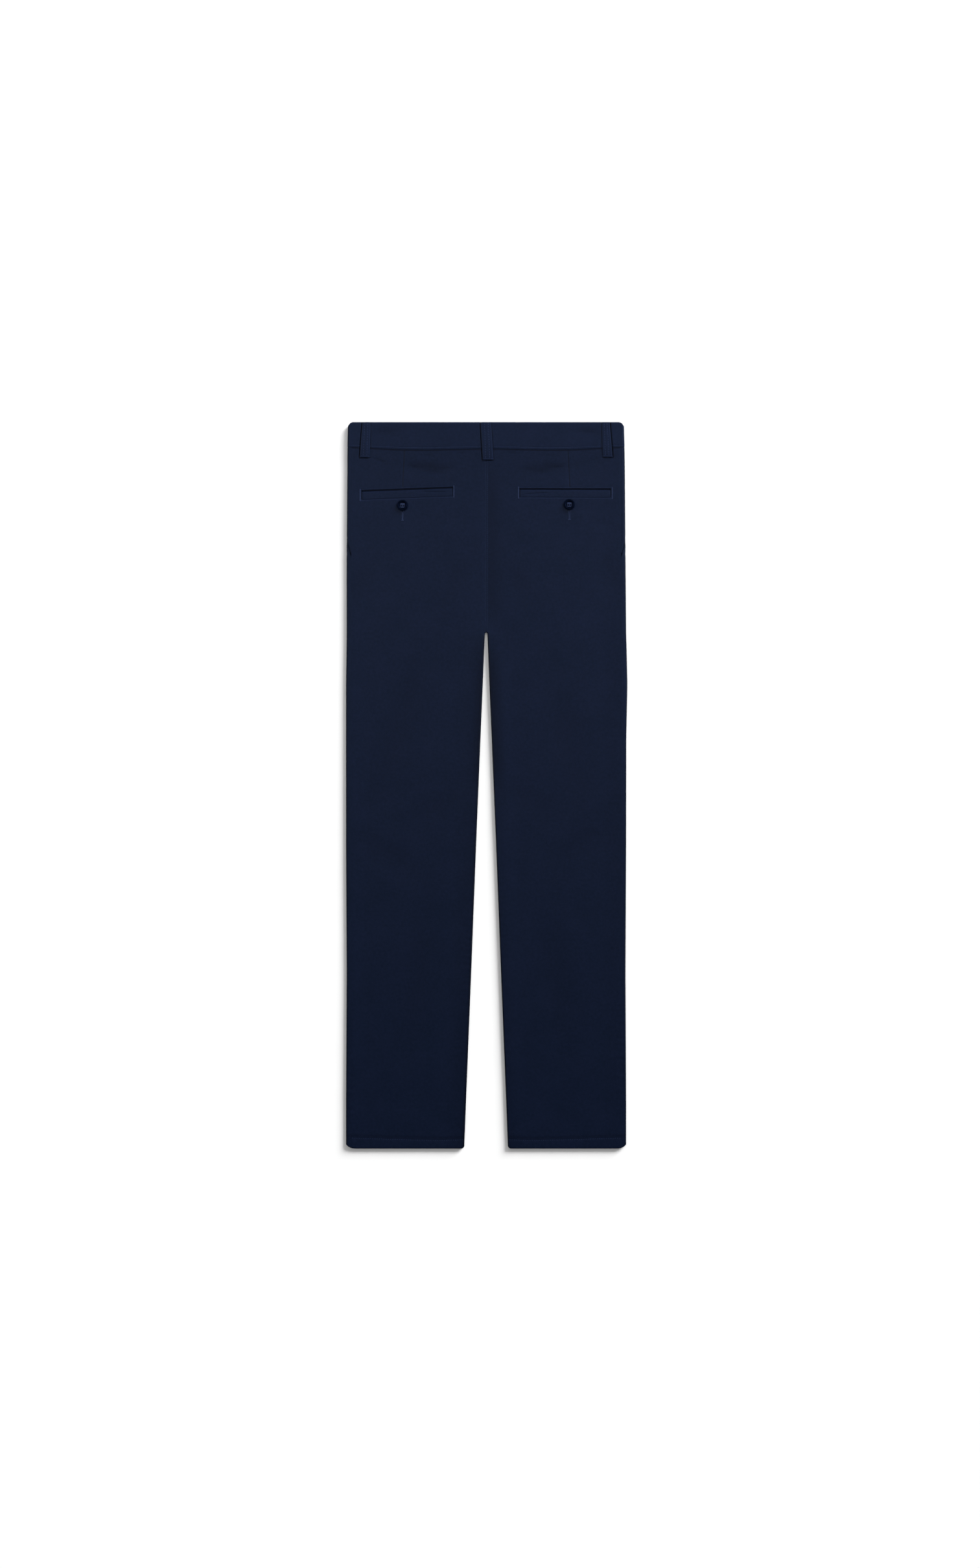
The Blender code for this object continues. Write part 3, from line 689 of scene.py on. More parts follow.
def lift_of_front(x: Array, drop: Array) -> Array:
    """How far the front is raised where it lies on its belt loops and its button.

    Args:
        x: distance to the right of the centre seams.
        drop: drops of the places.

    Returns:
        The lift in millimetres.
    """
    lift = np.zeros(np.broadcast(x, drop).shape)
    for loop in FRONT_LOOPS:
        sideways = np.abs(x - loop.x_top) - 0.5 * loop.width_top
        off = np.maximum(np.maximum(sideways, loop.top - drop), drop - loop.end)
        lift = np.maximum(lift, LOOP_LIFT * fall((off - LIFT_MARGIN) / 6.0))
    off = np.maximum(np.abs(x - FRONT_BUTTON.x), np.abs(drop - FRONT_BUTTON.drop)) - FRONT_BUTTON.radius
    return np.maximum(lift, BUTTON_LIFT * fall((off - LIFT_MARGIN) / 9.5))


def clear_selection() -> None:
    """Deselects everything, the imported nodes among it."""
    bpy.ops.object.select_all(action="DESELECT")


def only(piece: Piece) -> None:
    """Selects one object alone and makes it the active one.

    Args:
        piece: the object.
    """
    clear_selection()
    piece.select_set(True)
    bpy.context.view_layer.objects.active = piece


def read_points(piece: Piece) -> Array:
    """The piece's vertices, one row each.

    Args:
        piece: the piece.

    Returns:
        The vertices' places.
    """
    flat = np.empty(len(piece.data.vertices) * 3)
    piece.data.vertices.foreach_get("co", flat)
    return flat.reshape(-1, 3)


def pick_faces(piece: Piece, chosen: Array) -> None:
    """Selects faces of a piece and leaves it in edit mode.

    Args:
        piece: the active object, in object mode.
        chosen: for each face, whether it is selected.
    """
    bpy.context.tool_settings.mesh_select_mode = (False, False, True)
    bpy.ops.object.mode_set(mode="EDIT")
    bpy.ops.mesh.select_all(action="DESELECT")
    bpy.ops.object.mode_set(mode="OBJECT")
    piece.data.polygons.foreach_set("select", chosen)
    bpy.ops.object.mode_set(mode="EDIT")


def face_tilts(piece: Piece) -> Array:
    """How far up each of a piece's faces looks: 1 straight up, -1 straight down."""
    return np.array([face.normal.z for face in piece.data.polygons])


def apply_modifier(piece: Piece, kind: str, **settings: object) -> None:
    """Adds a modifier to a piece, sets it up and applies it.

    Args:
        piece: the piece.
        kind: the modifier's type.
        settings: the modifier's own settings.
    """
    only(piece)
    modifier = piece.modifiers.new(kind.lower(), kind)
    for name, value in settings.items():
        setattr(modifier, name, value)
    bpy.ops.object.modifier_apply(modifier=modifier.name)


class ClothSheet:
    """A sheet of cloth laid to a form: a fine grid whose points are put in place one by one."""

    def __init__(self, name: str, rows: Array, columns: Array) -> None:
        """Adds the flat grid.

        Args:
            name: the piece's name.
            rows: nominal positions of the grid's rows, from its upper edge down.
            columns: nominal positions of its columns, from the inner edge out.
        """
        clear_selection()
        bpy.ops.mesh.primitive_grid_add(
            x_subdivisions=len(columns) - 1, y_subdivisions=len(rows) - 1, size=1.0
        )
        self.piece = bpy.context.object
        self.piece.name = name
        self.piece.data.name = name
        self.rows, self.columns = rows, columns
        flat = read_points(self.piece)
        self.column_of = np.rint((flat[:, 0] + 0.5) * (len(columns) - 1)).astype(int)
        self.row_of = np.rint((0.5 - flat[:, 1]) * (len(rows) - 1)).astype(int)

    def lay(self, points: Array, runs: Array, drops: Array, shade_and_wear: Array) -> None:
        """Moves the grid to its points, and keeps the cloth's own length and width as its UV map.

        Args:
            points: a point in metres for every row and column.
            runs: distance along the weft, in millimetres.
            drops: distance along the warp, in millimetres.
            shade_and_wear: from -1, where shade is painted darkest with the twill's deep colour, to 1, where
                the cloth is most worn.
        """
        mesh = self.piece.data
        mesh.vertices.foreach_set("co", points[self.row_of, self.column_of].ravel())
        vertex = np.empty(len(mesh.loops), int)
        mesh.loops.foreach_get("vertex_index", vertex)
        row, column = self.row_of[vertex], self.column_of[vertex]
        uv = np.stack((runs[row, column], -drops[row, column]), axis=-1) * MM
        mesh.uv_layers.active.data.foreach_set("uv", uv.ravel())
        rubbed = mesh.attributes.new("shade_and_wear", "FLOAT", "POINT")
        rubbed.data.foreach_set("value", np.clip(shade_and_wear, -1, 1)[self.row_of, self.column_of].astype(np.float32))
        mesh.update()

    def cut_window(self, first_row: float, last_row: float, first_column: float, last_column: float) -> None:
        """Deletes the faces inside a rectangle of nominal rows and columns.

        Args:
            first_row: the rectangle's upper edge.
            last_row: its lower edge.
            first_column: its inner edge.
            last_column: its outer edge.
        """
        mesh = self.piece.data
        vertex = np.empty(len(mesh.loops), int)
        mesh.loops.foreach_get("vertex_index", vertex)
        row = self.rows[self.row_of[vertex]].reshape(-1, 4).mean(axis=1)
        column = self.columns[self.column_of[vertex]].reshape(-1, 4).mean(axis=1)
        inside = (row > first_row) & (row < last_row) & (column > first_column) & (column < last_column)
        only(self.piece)
        pick_faces(self.piece, inside)
        bpy.ops.mesh.delete(type="FACE")
        bpy.ops.object.mode_set(mode="OBJECT")

    def finish(self, wall: float, turn_over: bool) -> Piece:
        """Gives the sheet its thickness.

        Args:
            wall: thickness in millimetres, inwards from the points.
            turn_over: whether the grid's faces point into the garment and are turned first.

        Returns:
            The finished piece.
        """
        only(self.piece)
        if turn_over:
            bpy.ops.object.mode_set(mode="EDIT")
            bpy.ops.mesh.select_all(action="SELECT")
            bpy.ops.mesh.flip_normals()
            bpy.ops.object.mode_set(mode="OBJECT")
        apply_modifier(self.piece, "SOLIDIFY", thickness=wall * MM, offset=-1.0, use_even_offset=False)
        only(self.piece)
        bpy.ops.object.shade_smooth_by_angle(angle=SOFT_ANGLE)
        return self.piece


def srgb(code: str) -> tuple[float, float, float, float]:
    """A linear colour from its sRGB hex code.

    Args:
        code: a hex code with its leading #.

    Returns:
        Red, green, blue and a full alpha.
    """
    levels = [int(code[i : i + 2], 16) / 255.0 for i in (1, 3, 5)]
    linear = [v / 12.92 if v <= 0.04045 else ((v + 0.055) / 1.055) ** 2.4 for v in levels]
    return (*linear, 1.0)


def add_node(
    tree: Tree,
    kind: str,
    inputs: dict[str | int, object] | None = None,
    **settings: object,
) -> Node:
    """Adds one node.

    Args:
        tree: the node tree to add to.
        kind: the node's type, without the ShaderNode that all of them start with.
        inputs: for each socket its value, or another node's output to link to it.
        settings: the node's own settings.

    Returns:
        The node.
    """
    node = tree.nodes.new("ShaderNode" + kind)
    for name, value in settings.items():
        setattr(node, name, value)
    for name, value in (inputs or {}).items():
        if isinstance(value, Socket):
            tree.links.new(value, node.inputs[name])
        else:
            node.inputs[name].default_value = value
    return node


def new_material(name: str) -> tuple[Material, Tree, Node]:
    """A material with its tree and its Principled shader.

    Args:
        name: its name.

    Returns:
        The material, its tree and its shader.
    """
    made = bpy.data.materials.new(name)
    made.use_nodes = True
    return made, made.node_tree, made.node_tree.nodes["Principled BSDF"]


def wave_scale(pitch: float) -> float:
    """The scale at which a band texture on coordinates in metres repeats every pitch millimetres."""
    return 2.0 * math.pi / (20.0 * pitch * MM)


@dataclass(frozen=True)
class CottonTwill:
    """Piece-dyed cotton twill, lightly brushed: matt, with fine diagonal lines and slubby yarns."""

    colour: str = "#040c1d"
    light: str = "#081023"
    rubbed: str = "#0f1a32"
    # deep is the colour of the painted shade: seams, creases, the lines beside the loops and the legs' edges
    # are painted towards it
    deep: str = "#01030d"
    gloss_tint: str = "#b5c6f0"
    # The real lines are 0.55 mm apart, too fine to show, so they are drawn coarser
    line_pitch: float = 0.9
    line_angle: float = 63.0
    slub_width: float = 0.9
    slub_length: float = 8.0
    speck: float = 4.2
    patch: float = 46.0
    # How much the lines and the yarns count in the weave, and then the patches and specks of dye
    line_share: float = 0.14
    yarn_share: float = 0.4
    patch_share: float = 1.2
    speck_share: float = 1.4
    # The sums of those shares at which the dye is at its darkest and its lightest
    shade_range: tuple[float, float] = (1.02, 2.02)
    roughness: float = 0.6
    specular: float = 0.02
    sheen: float = 0.008
    sheen_tint: str = "#8c98b4"

    def build(self) -> Material:
        """Makes the material.

        Returns:
            The material.
        """
        made, tree, shader = new_material("navy_cotton_twill")
        uv = add_node(tree, "TexCoord").outputs["UV"]
        turned = add_node(
            tree, "Mapping", {"Vector": uv, "Rotation": (0, 0, math.radians(self.line_angle))}
        )
        lines = add_node(
            tree, "TexWave",
            {"Vector": turned.outputs[0], "Scale": wave_scale(self.line_pitch), "Distortion": 1.2,
             "Detail": 1.0, "Detail Scale": 1.4},
        )
        slubs = []
        for size in ((self.slub_width, self.slub_length), (self.slub_length, self.slub_width)):
            stretched = add_node(
                tree, "Mapping",
                {"Vector": uv, "Scale": (1.0 / (size[0] * MM), 1.0 / (size[1] * MM), 1.0)},
            )
            slubs.append(
                add_node(tree, "TexNoise",
                         {"Vector": stretched.outputs[0], "Scale": 1.0, "Detail": 2.0, "Roughness": 0.6})
            )
        yarns = add_node(
            tree, "Math", {0: slubs[0].outputs["Fac"], 1: slubs[1].outputs["Fac"]},
            operation="ADD",
        )
        patches = add_node(
            tree, "TexNoise",
            {"Vector": uv, "Scale": 1.0 / (self.patch * MM), "Detail": 4.0, "Roughness": 0.68},
        )
        specks = add_node(
            tree, "TexNoise",
            {"Vector": uv, "Scale": 1.0 / (self.speck * MM), "Detail": 2.0, "Roughness": 0.55},
        )
        yarn_weave = add_node(
            tree, "Math", {0: yarns.outputs[0], 1: self.yarn_share, 2: -0.26},
            operation="MULTIPLY_ADD",
        )
        woven = add_node(
            tree, "Math",
            {0: lines.outputs["Fac"], 1: self.line_share, 2: yarn_weave.outputs[0]},
            operation="MULTIPLY_ADD",
        )
        speckled = add_node(
            tree, "Math",
            {0: specks.outputs["Fac"], 1: self.speck_share, 2: woven.outputs[0]},
            operation="MULTIPLY_ADD",
        )
        shade = add_node(
            tree, "Math",
            {0: patches.outputs["Fac"], 1: self.patch_share, 2: speckled.outputs[0]},
            operation="MULTIPLY_ADD",
        )
        darkest, lightest = self.shade_range
        share = add_node(
            tree, "MapRange",
            {"Value": shade.outputs[0], "From Min": darkest, "From Max": lightest, "To Min": -0.2,
             "To Max": 1.2},
        )
        dyed = add_node(tree, "Mix", data_type="RGBA")
        link_mix(tree, dyed, share.outputs[0], srgb(self.colour), srgb(self.light))
        # Below 0 this attribute paints the colour towards deep as painted shade; above 0 it turns it towards
        # the rubbed colour as wear
        shade_and_wear = add_node(tree, "Attribute", attribute_name="shade_and_wear")
        deep = add_node(
            tree, "Math", {0: shade_and_wear.outputs["Fac"], 1: -1.0}, operation="MULTIPLY", use_clamp=True
        )
        with_painted_shade = add_node(tree, "Mix", data_type="RGBA")
        link_mix(tree, with_painted_shade, deep.outputs[0], dyed.outputs[2], srgb(self.deep))
        worn = add_node(tree, "Mix", data_type="RGBA")
        link_mix(tree, worn, shade_and_wear.outputs["Fac"], with_painted_shade.outputs[2], srgb(self.rubbed))
        tree.links.new(worn.outputs[2], shader.inputs["Base Color"])
        raised = add_node(
            tree, "Bump",
            {"Height": woven.outputs[0], "Strength": 0.45, "Distance": 0.0002},
        )
        tree.links.new(raised.outputs[0], shader.inputs["Normal"])
        shader.inputs["Roughness"].default_value = self.roughness
        shader.inputs["Specular IOR Level"].default_value = self.specular
        shader.inputs["Sheen Weight"].default_value = self.sheen
        shader.inputs["Sheen Roughness"].default_value = 0.45
        shader.inputs["Sheen Tint"].default_value = srgb(self.sheen_tint)
        shader.inputs["Specular Tint"].default_value = srgb(self.gloss_tint)
        return made


def link_mix(tree: Tree, mix: Node, factor: object, first: object, second: object) -> None:
    """Sets up a colour mix, whose factor and colours are values or other nodes' outputs.

    Args:
        tree: the node tree.
        mix: the colour mix.
        factor: how much of the second colour shows.
        first: the colour at factor 0.
        second: the colour at factor 1.
    """
    for index, value in ((0, factor), (6, first), (7, second)):
        if isinstance(value, Socket):
            tree.links.new(value, mix.inputs[index])
        else:
            mix.inputs[index].default_value = value


@dataclass(frozen=True)
class SewingThread:
    """Core-spun sewing thread, a little lighter than the cloth, with a soft lustre along its ply."""

    name: str = "navy_sewing_thread"
    colour: str = "#1b2239"
    light: str = "#252f4c"
    gloss_tint: str = "#b2c8ff"
    grain: float = 0.9
    roughness: float = 0.6

    def build(self) -> Material:
        """Makes the material.

        Returns:
            The material.
        """
        made, tree, shader = new_material(self.name)
        where = add_node(tree, "TexCoord").outputs["Object"]
        noise = add_node(
            tree, "TexNoise", {"Vector": where, "Scale": 1.0 / (self.grain * MM), "Detail": 2.0}
        )
        mixed = add_node(tree, "Mix", data_type="RGBA")
        link_mix(tree, mixed, noise.outputs["Fac"], srgb(self.colour), srgb(self.light))
        tree.links.new(mixed.outputs[2], shader.inputs["Base Color"])
        raised = add_node(
            tree, "Bump", {"Height": noise.outputs["Fac"], "Strength": 0.4, "Distance": 0.0001}
        )
        tree.links.new(raised.outputs[0], shader.inputs["Normal"])
        shader.inputs["Roughness"].default_value = self.roughness
        shader.inputs["Specular IOR Level"].default_value = 0.01
        shader.inputs["Specular Tint"].default_value = srgb(self.gloss_tint)
        return made


@dataclass(frozen=True)
class ButtonResin:
    """Cast polyester button resin, turned and polished: deep navy with faint lighter clouds."""

    colour: str = "#02040b"
    cloud: str = "#050a16"
    gloss_tint: str = "#5a78d2"
    cloud_size: float = 5.0
    roughness: float = 0.3

    def build(self) -> Material:
        """Makes the material.

        Returns:
            The material.
        """
        made, tree, shader = new_material("navy_button_resin")
        where = add_node(tree, "TexCoord").outputs["Object"]
        noise = add_node(
            tree, "TexNoise",
            {"Vector": where, "Scale": 1.0 / (self.cloud_size * MM), "Detail": 3.0, "Distortion": 0.8},
        )
        mixed = add_node(tree, "Mix", data_type="RGBA")
        link_mix(tree, mixed, noise.outputs["Fac"], srgb(self.colour), srgb(self.cloud))
        tree.links.new(mixed.outputs[2], shader.inputs["Base Color"])
        dulled = add_node(
            tree, "MapRange",
            {"Value": noise.outputs["Fac"], "To Min": self.roughness - 0.06, "To Max": self.roughness + 0.1},
        )
        tree.links.new(dulled.outputs[0], shader.inputs["Roughness"])
        shader.inputs["IOR"].default_value = 1.54
        shader.inputs["Specular IOR Level"].default_value = 0.01
        shader.inputs["Specular Tint"].default_value = srgb(self.gloss_tint)
        return made


@dataclass(frozen=True)
class MattPaper:
    """Matt white background paper, faintly uneven, which glows a little from the light behind it."""

    colour: str = "#f4f4f4"
    shade: str = "#f0f0f0"
    patch: float = 60.0
    glow: float = 0.05

    def build(self) -> Material:
        """Makes the material.

        Returns:
            The material.
        """
        made, tree, shader = new_material("matt_white_paper")
        where = add_node(tree, "TexCoord").outputs["Object"]
        noise = add_node(tree, "TexNoise", {"Vector": where, "Scale": 1.0 / (self.patch * MM)})
        mixed = add_node(tree, "Mix", data_type="RGBA")
        link_mix(tree, mixed, noise.outputs["Fac"], srgb(self.colour), srgb(self.shade))
        tree.links.new(mixed.outputs[2], shader.inputs["Base Color"])
        shader.inputs["Roughness"].default_value = 0.9
        shader.inputs["Specular IOR Level"].default_value = 0.02
        shader.inputs["Emission Color"].default_value = srgb("#ffffff")
        shader.inputs["Emission Strength"].default_value = self.glow
        return made


class Workshop:
    """Holds the finishes and gives each made piece its finish and its body."""

    def __init__(self) -> None:
        """Makes each finish once."""
        self.twill = CottonTwill().build()
        self.thread = SewingThread().build()
        twist = SewingThread(name="blue_buttonhole_twist", colour="#222a40", light="#2d3754")
        self.bright_thread = twist.build()
        self.resin = ButtonResin().build()

    def dress(
        self, piece: Piece, material: Material, slot: str, nodes: Sequence[str] = ()
    ) -> None:
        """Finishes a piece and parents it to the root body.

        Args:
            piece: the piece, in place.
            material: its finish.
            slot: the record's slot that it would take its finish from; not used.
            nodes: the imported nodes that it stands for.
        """
        piece.data.materials.clear()
        piece.data.materials.append(material)
        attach(piece, "root")
        if nodes:
            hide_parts(*nodes)
        log.info("%s: %d faces", piece.name, len(piece.data.polygons))


CLOTH_SLOT = "navy_twill"
RESIN_SLOT = "navy_resin"
# Rows of both panels at the crotch, where the legs part, and along the hem's turned edge
CROTCH_ROWS = ((298, 310, 1.5), (310, 316, 0.5), (316, 328, 1.5))
HEM_ROWS = ((1066, 1074, 1.6), (1074, LENGTH, 0.5))
# The groove of the side seam and the rounding of the hem's edge: each one's depth and its reach
SIDE_GROOVE = 0.08
SIDE_GROOVE_REACH = 1.9
HEM_ROUND = 0.4
HEM_ROUND_REACH = 1.2
# A place's run and drop depend on each other a little, so a panel's grid is worked out this many times
ROUNDS = 2


@dataclass
class BackPanel:
    """A back: from the centre back seam and inseam to the side seam, with the pocket's window."""

    side: Side
    flat: tuple[float, float] = (0.205, 1.040)
    area: float = 0.195
    top_row: float = 39.3
    window_press: float = 0.3
    dart_step: float = 0.4
    centre_stitch_run: float = 1.8
    trench_depth: float = 1.25

    def surface(self, run: Array, drop: Array, depth: Array | float | None = None) -> Array:
        """Points of the outer face, pressed in at seams and stitches unless a depth is given.

        Args:
            run: runs of the places.
            drop: drops of the places.
            depth: how deep each place lies inside the outer face.

        Returns:
            Points in metres.
        """
        depth = self.pressed(run, drop) if depth is None else depth
        across, z = FORM.back_point(self.side, run, drop, depth)
        return place(self.side, across, drop, z)

    def pressed(self, run: Array, drop: Array) -> Array:
        """How far the face is pressed in beside seams, the dart, stitches and belt loops.

        Args:
            run: runs of the places.
            drop: drops of the places.

        Returns:
            The depth in millimetres.
        """
        below_seam = drop - FORM.back_seam(run)
        _, start = FORM.inner_roll(self.side, drop, on_front=False)
        pocket = POCKETS[self.side]
        depth = under_band(below_seam)
        from_side = FORM.side_end(self.side, drop, on_front=False) - run
        depth = depth + SIDE_GROOVE * fade(from_side, SIDE_GROOVE_REACH)
        depth = depth + inseam_groove(run - start, drop)
        depth = depth + self.window_press * fade(pocket.outside(run, drop), 1.5)
        depth = depth + 0.08 * bump(pocket.outside(run, drop) - 1.4, 0.6)
        above = pocket.inner_drop + pocket.shift(run) - drop
        within = smooth((run - 52.0) / 14.0) * fall((run - 150.0) / 30.0)
        ripple = np.sin(run * 2.1) + 0.7 * np.sin(run * 1.13 + 0.8)
        depth = depth + 0.035 * within * ripple * bump(above - 4.0, 3.2)
        beside = run - dart_run(drop)
        dart = smooth((drop - 40.0) / 4.0) * smooth((pocket.inner_drop + pocket.shift(run) - drop) / 3.0)
        toward = self.side.value * beside
        step = np.where(toward < 0.0, np.exp(np.minimum(toward, 0.0) / 2.6), fall(toward / 0.9))
        depth = depth + dart * self.dart_step * step
        depth = depth + hem_dent(run, drop)
        if self.side is Side.RIGHT:
            rise = fall((drop - 300.0) / 14.0)
            depth = depth + 0.1 * rise * bump(run - self.centre_stitch_run, 0.6)
        x = self.side.value * run
        for loop in BACK_LOOPS:
            depth = depth + self.trench_depth * loop.trench(x, drop) * smooth((below_seam + 1.0) / 2.0)
        return depth

    def painted_seam_shade(self, run: Array, drop: Array) -> Array:
        """Painted shade along the waist seam, the dart, the lines beside the belt loops and, on the right,
        the centre back seam.

        Args:
            run: runs of the places.
            drop: drops of the places.

        Returns:
            How much painted shade, from 0 to about 1.
        """
        below_seam = drop - FORM.back_seam(run)
        pocket = POCKETS[self.side]
        seam = 0.9 * fall((below_seam - 1.5) / 1.1)
        above_pocket = smooth((pocket.inner_drop + pocket.shift(run) - drop - 1.0) / 3.0)
        dart = above_pocket * bump(run - dart_run(drop), 0.75)
        loops = TRENCH_SHADE * sum(loop.trench(self.side.value * run, drop) for loop in BACK_LOOPS)
        if self.side is Side.LEFT:
            return seam + 0.95 * dart + loops
        # On the right half a band beside the centre back seam is painted darker, as shade
        beside_seam = smooth((drop - 50.0) / 40.0) * fall((drop - 250.0) / 60.0)
        beside_seam = beside_seam * smooth((run - 2.2) / 1.6) * fall((run - 3.0) / 26.0)
        return seam + 0.75 * dart + loops + 0.35 * beside_seam

    def build(self, shop: Workshop) -> None:
        """Makes the panel.

        Args:
            shop: dresses the piece.
        """
        pocket = POCKETS[self.side]
        top, bottom = pocket.inner_drop, pocket.inner_drop + pocket.depth
        rows = spaced(
            (self.top_row - 3, self.top_row - 0.6, 0.8), (self.top_row - 0.6, 44, 0.6),
            (44, 58, 0.75), (58, top - 5, 2.2), (top - 5, top, 0.6), (top, bottom, 1.8),
            (bottom, bottom + 5, 0.6), (bottom + 5, 146, 1.7), (146, 298, 3.6), *CROTCH_ROWS,
            (328, 500, 3.8), (500, 1048, 2.7), (1048, 1066, 1.1), *HEM_ROWS,
        )
        columns = spaced(
            (0, 13, 0.6), (13, 45, 3.2), (45, 49.3, 0.72), (49.3, 119.2, 3.4), (119.2, 125.2, 0.5),
            (125.2, 184.5, 3.4), (184.5, 190, 0.7), (190, 194.5, 1.5), (194.5, 201, 0.75),
        )
        anchors = (0.0, 6.0, 45.0, 49.3, 122.2, pocket.outer_run, 194.5, 201.0)
        row = np.repeat(rows[:, None], len(columns), axis=1)
        drop = row.copy()
        for _ in range(ROUNDS):
            _, start = FORM.inner_roll(self.side, drop, on_front=False)
            end = FORM.side_end(self.side, drop, on_front=False)
            fixed = [np.full_like(drop, anchor) for anchor in anchors]
            actual = [start, start + 6.0, fixed[2], fixed[3], dart_run(drop), fixed[5], end - 6.5, end]
            run = warped(columns, anchors, actual)
            across, _ = FORM.back_point(self.side, run, drop, 0.0)
            drop = FORM.row_drop(self.side, across, row, on_front=False)
            drop = drop + pocket.tilt(across, drop)
        sheet = ClothSheet(f"back_{self.side.label}_cloth", rows, columns)
        depth = self.pressed(run, drop) + HEM_ROUND * fade(LENGTH - row, HEM_ROUND_REACH)
        # Painted shade along the seams, the dart, the loop lines and the leg's edges, in the folds and along
        # the hem's lower edge
        shade_and_wear = -self.painted_seam_shade(run, drop) - painted_edge_shade(self.side, across, drop)
        shade_and_wear = shade_and_wear - painted_fold_shade(self.side, across, drop) - 0.8 * fade(LENGTH - row, 2.2)
        sheet.lay(self.surface(run, drop, depth), self.side.value * run, drop, shade_and_wear)
        sheet.cut_window(top, bottom, pocket.inner_run, pocket.outer_run)
        piece = sheet.finish(CLOTH_WALL, turn_over=self.side is Side.LEFT)
        shop.dress(piece, shop.twill, CLOTH_SLOT, [f"back_{self.side.label}"])


def under_band(below_seam: Array) -> Array:
    """How deep a panel lies where it runs in under the waistband."""
    return 0.57 * fall((below_seam + 0.9) / 2.6) + 0.05 * (below_seam < -0.5)


def painted_fold_shade(side: Side, across: Array, drop: Array) -> Array:
    """Painted shade in the troughs of folds."""
    return 0.35 * np.clip(sum(fold.at(side, across, drop) for fold in FOLDS), 0.0, 1.2)


def painted_edge_shade(side: Side, across: Array, drop: Array) -> Array:
    """Painted shade along a leg's edges, on the inner thigh and in a band above the hem's stitches.

    Args:
        side: the wearer's side.
        across: distances of the places, straight across.
        drop: drops of the places.

    Returns:
        How much painted shade, from 0 to about 1.
    """
    from_inner = across - FORM.inner_edge(drop)
    from_outer = FORM.side_edge(side, drop) - across
    legs = smooth((drop - CROTCH_DROP) / 8.0)
    thigh = smooth((drop - 322.0) / 50.0) * fall((drop - 500.0) / 60.0)
    # The left leg's inner edge is turned to the light and gets more painted shade; the right one's lies in
    # its own shade and gets less
    reach, share = (3.4, 1.0) if side is Side.LEFT else (1.6, 0.5)
    outer = (0.4 if side is Side.LEFT else 0.8) * fade(from_outer - 0.8, 3.0)
    edges = share * legs * fall((from_inner - 1.0) / reach) + outer
    hem = 0.3 * bump(drop - hem_stitch_drop(across) + 3.6, 2.6)
    return edges + 0.6 * thigh * bump(from_inner, 12.0) + 0.2 * legs * bump(from_inner, 16.0) + hem


def hem_dent(run: Array, drop: Array) -> Array:
    """How far the hem's stitches pull the cloth in, with short ripples between the turning's edges.

    Args:
        run: runs of the places.
        drop: drops of the places.

    Returns:
        The depth in millimetres.
    """
    off = drop - hem_stitch_drop(run)
    ropes = np.sin(run / 2.3 + off / 5.0) + 0.6 * np.sin(run / 5.1 - off / 7.0)
    return 0.16 * bump(off, 1.2) + 0.035 * ropes * bump(off - 4.0, 6.0) + 0.07 * bump(off + 3.2, 1.6)


def hem_stitch_drop(run: Array) -> Array:
    """Drop of the hem's stitch row at a run from the centre seams."""
    return np.interp(run, (34.6, 66.0, 110.0, 199.7), (1062.7, 1064.3, 1063.1, 1060.5))


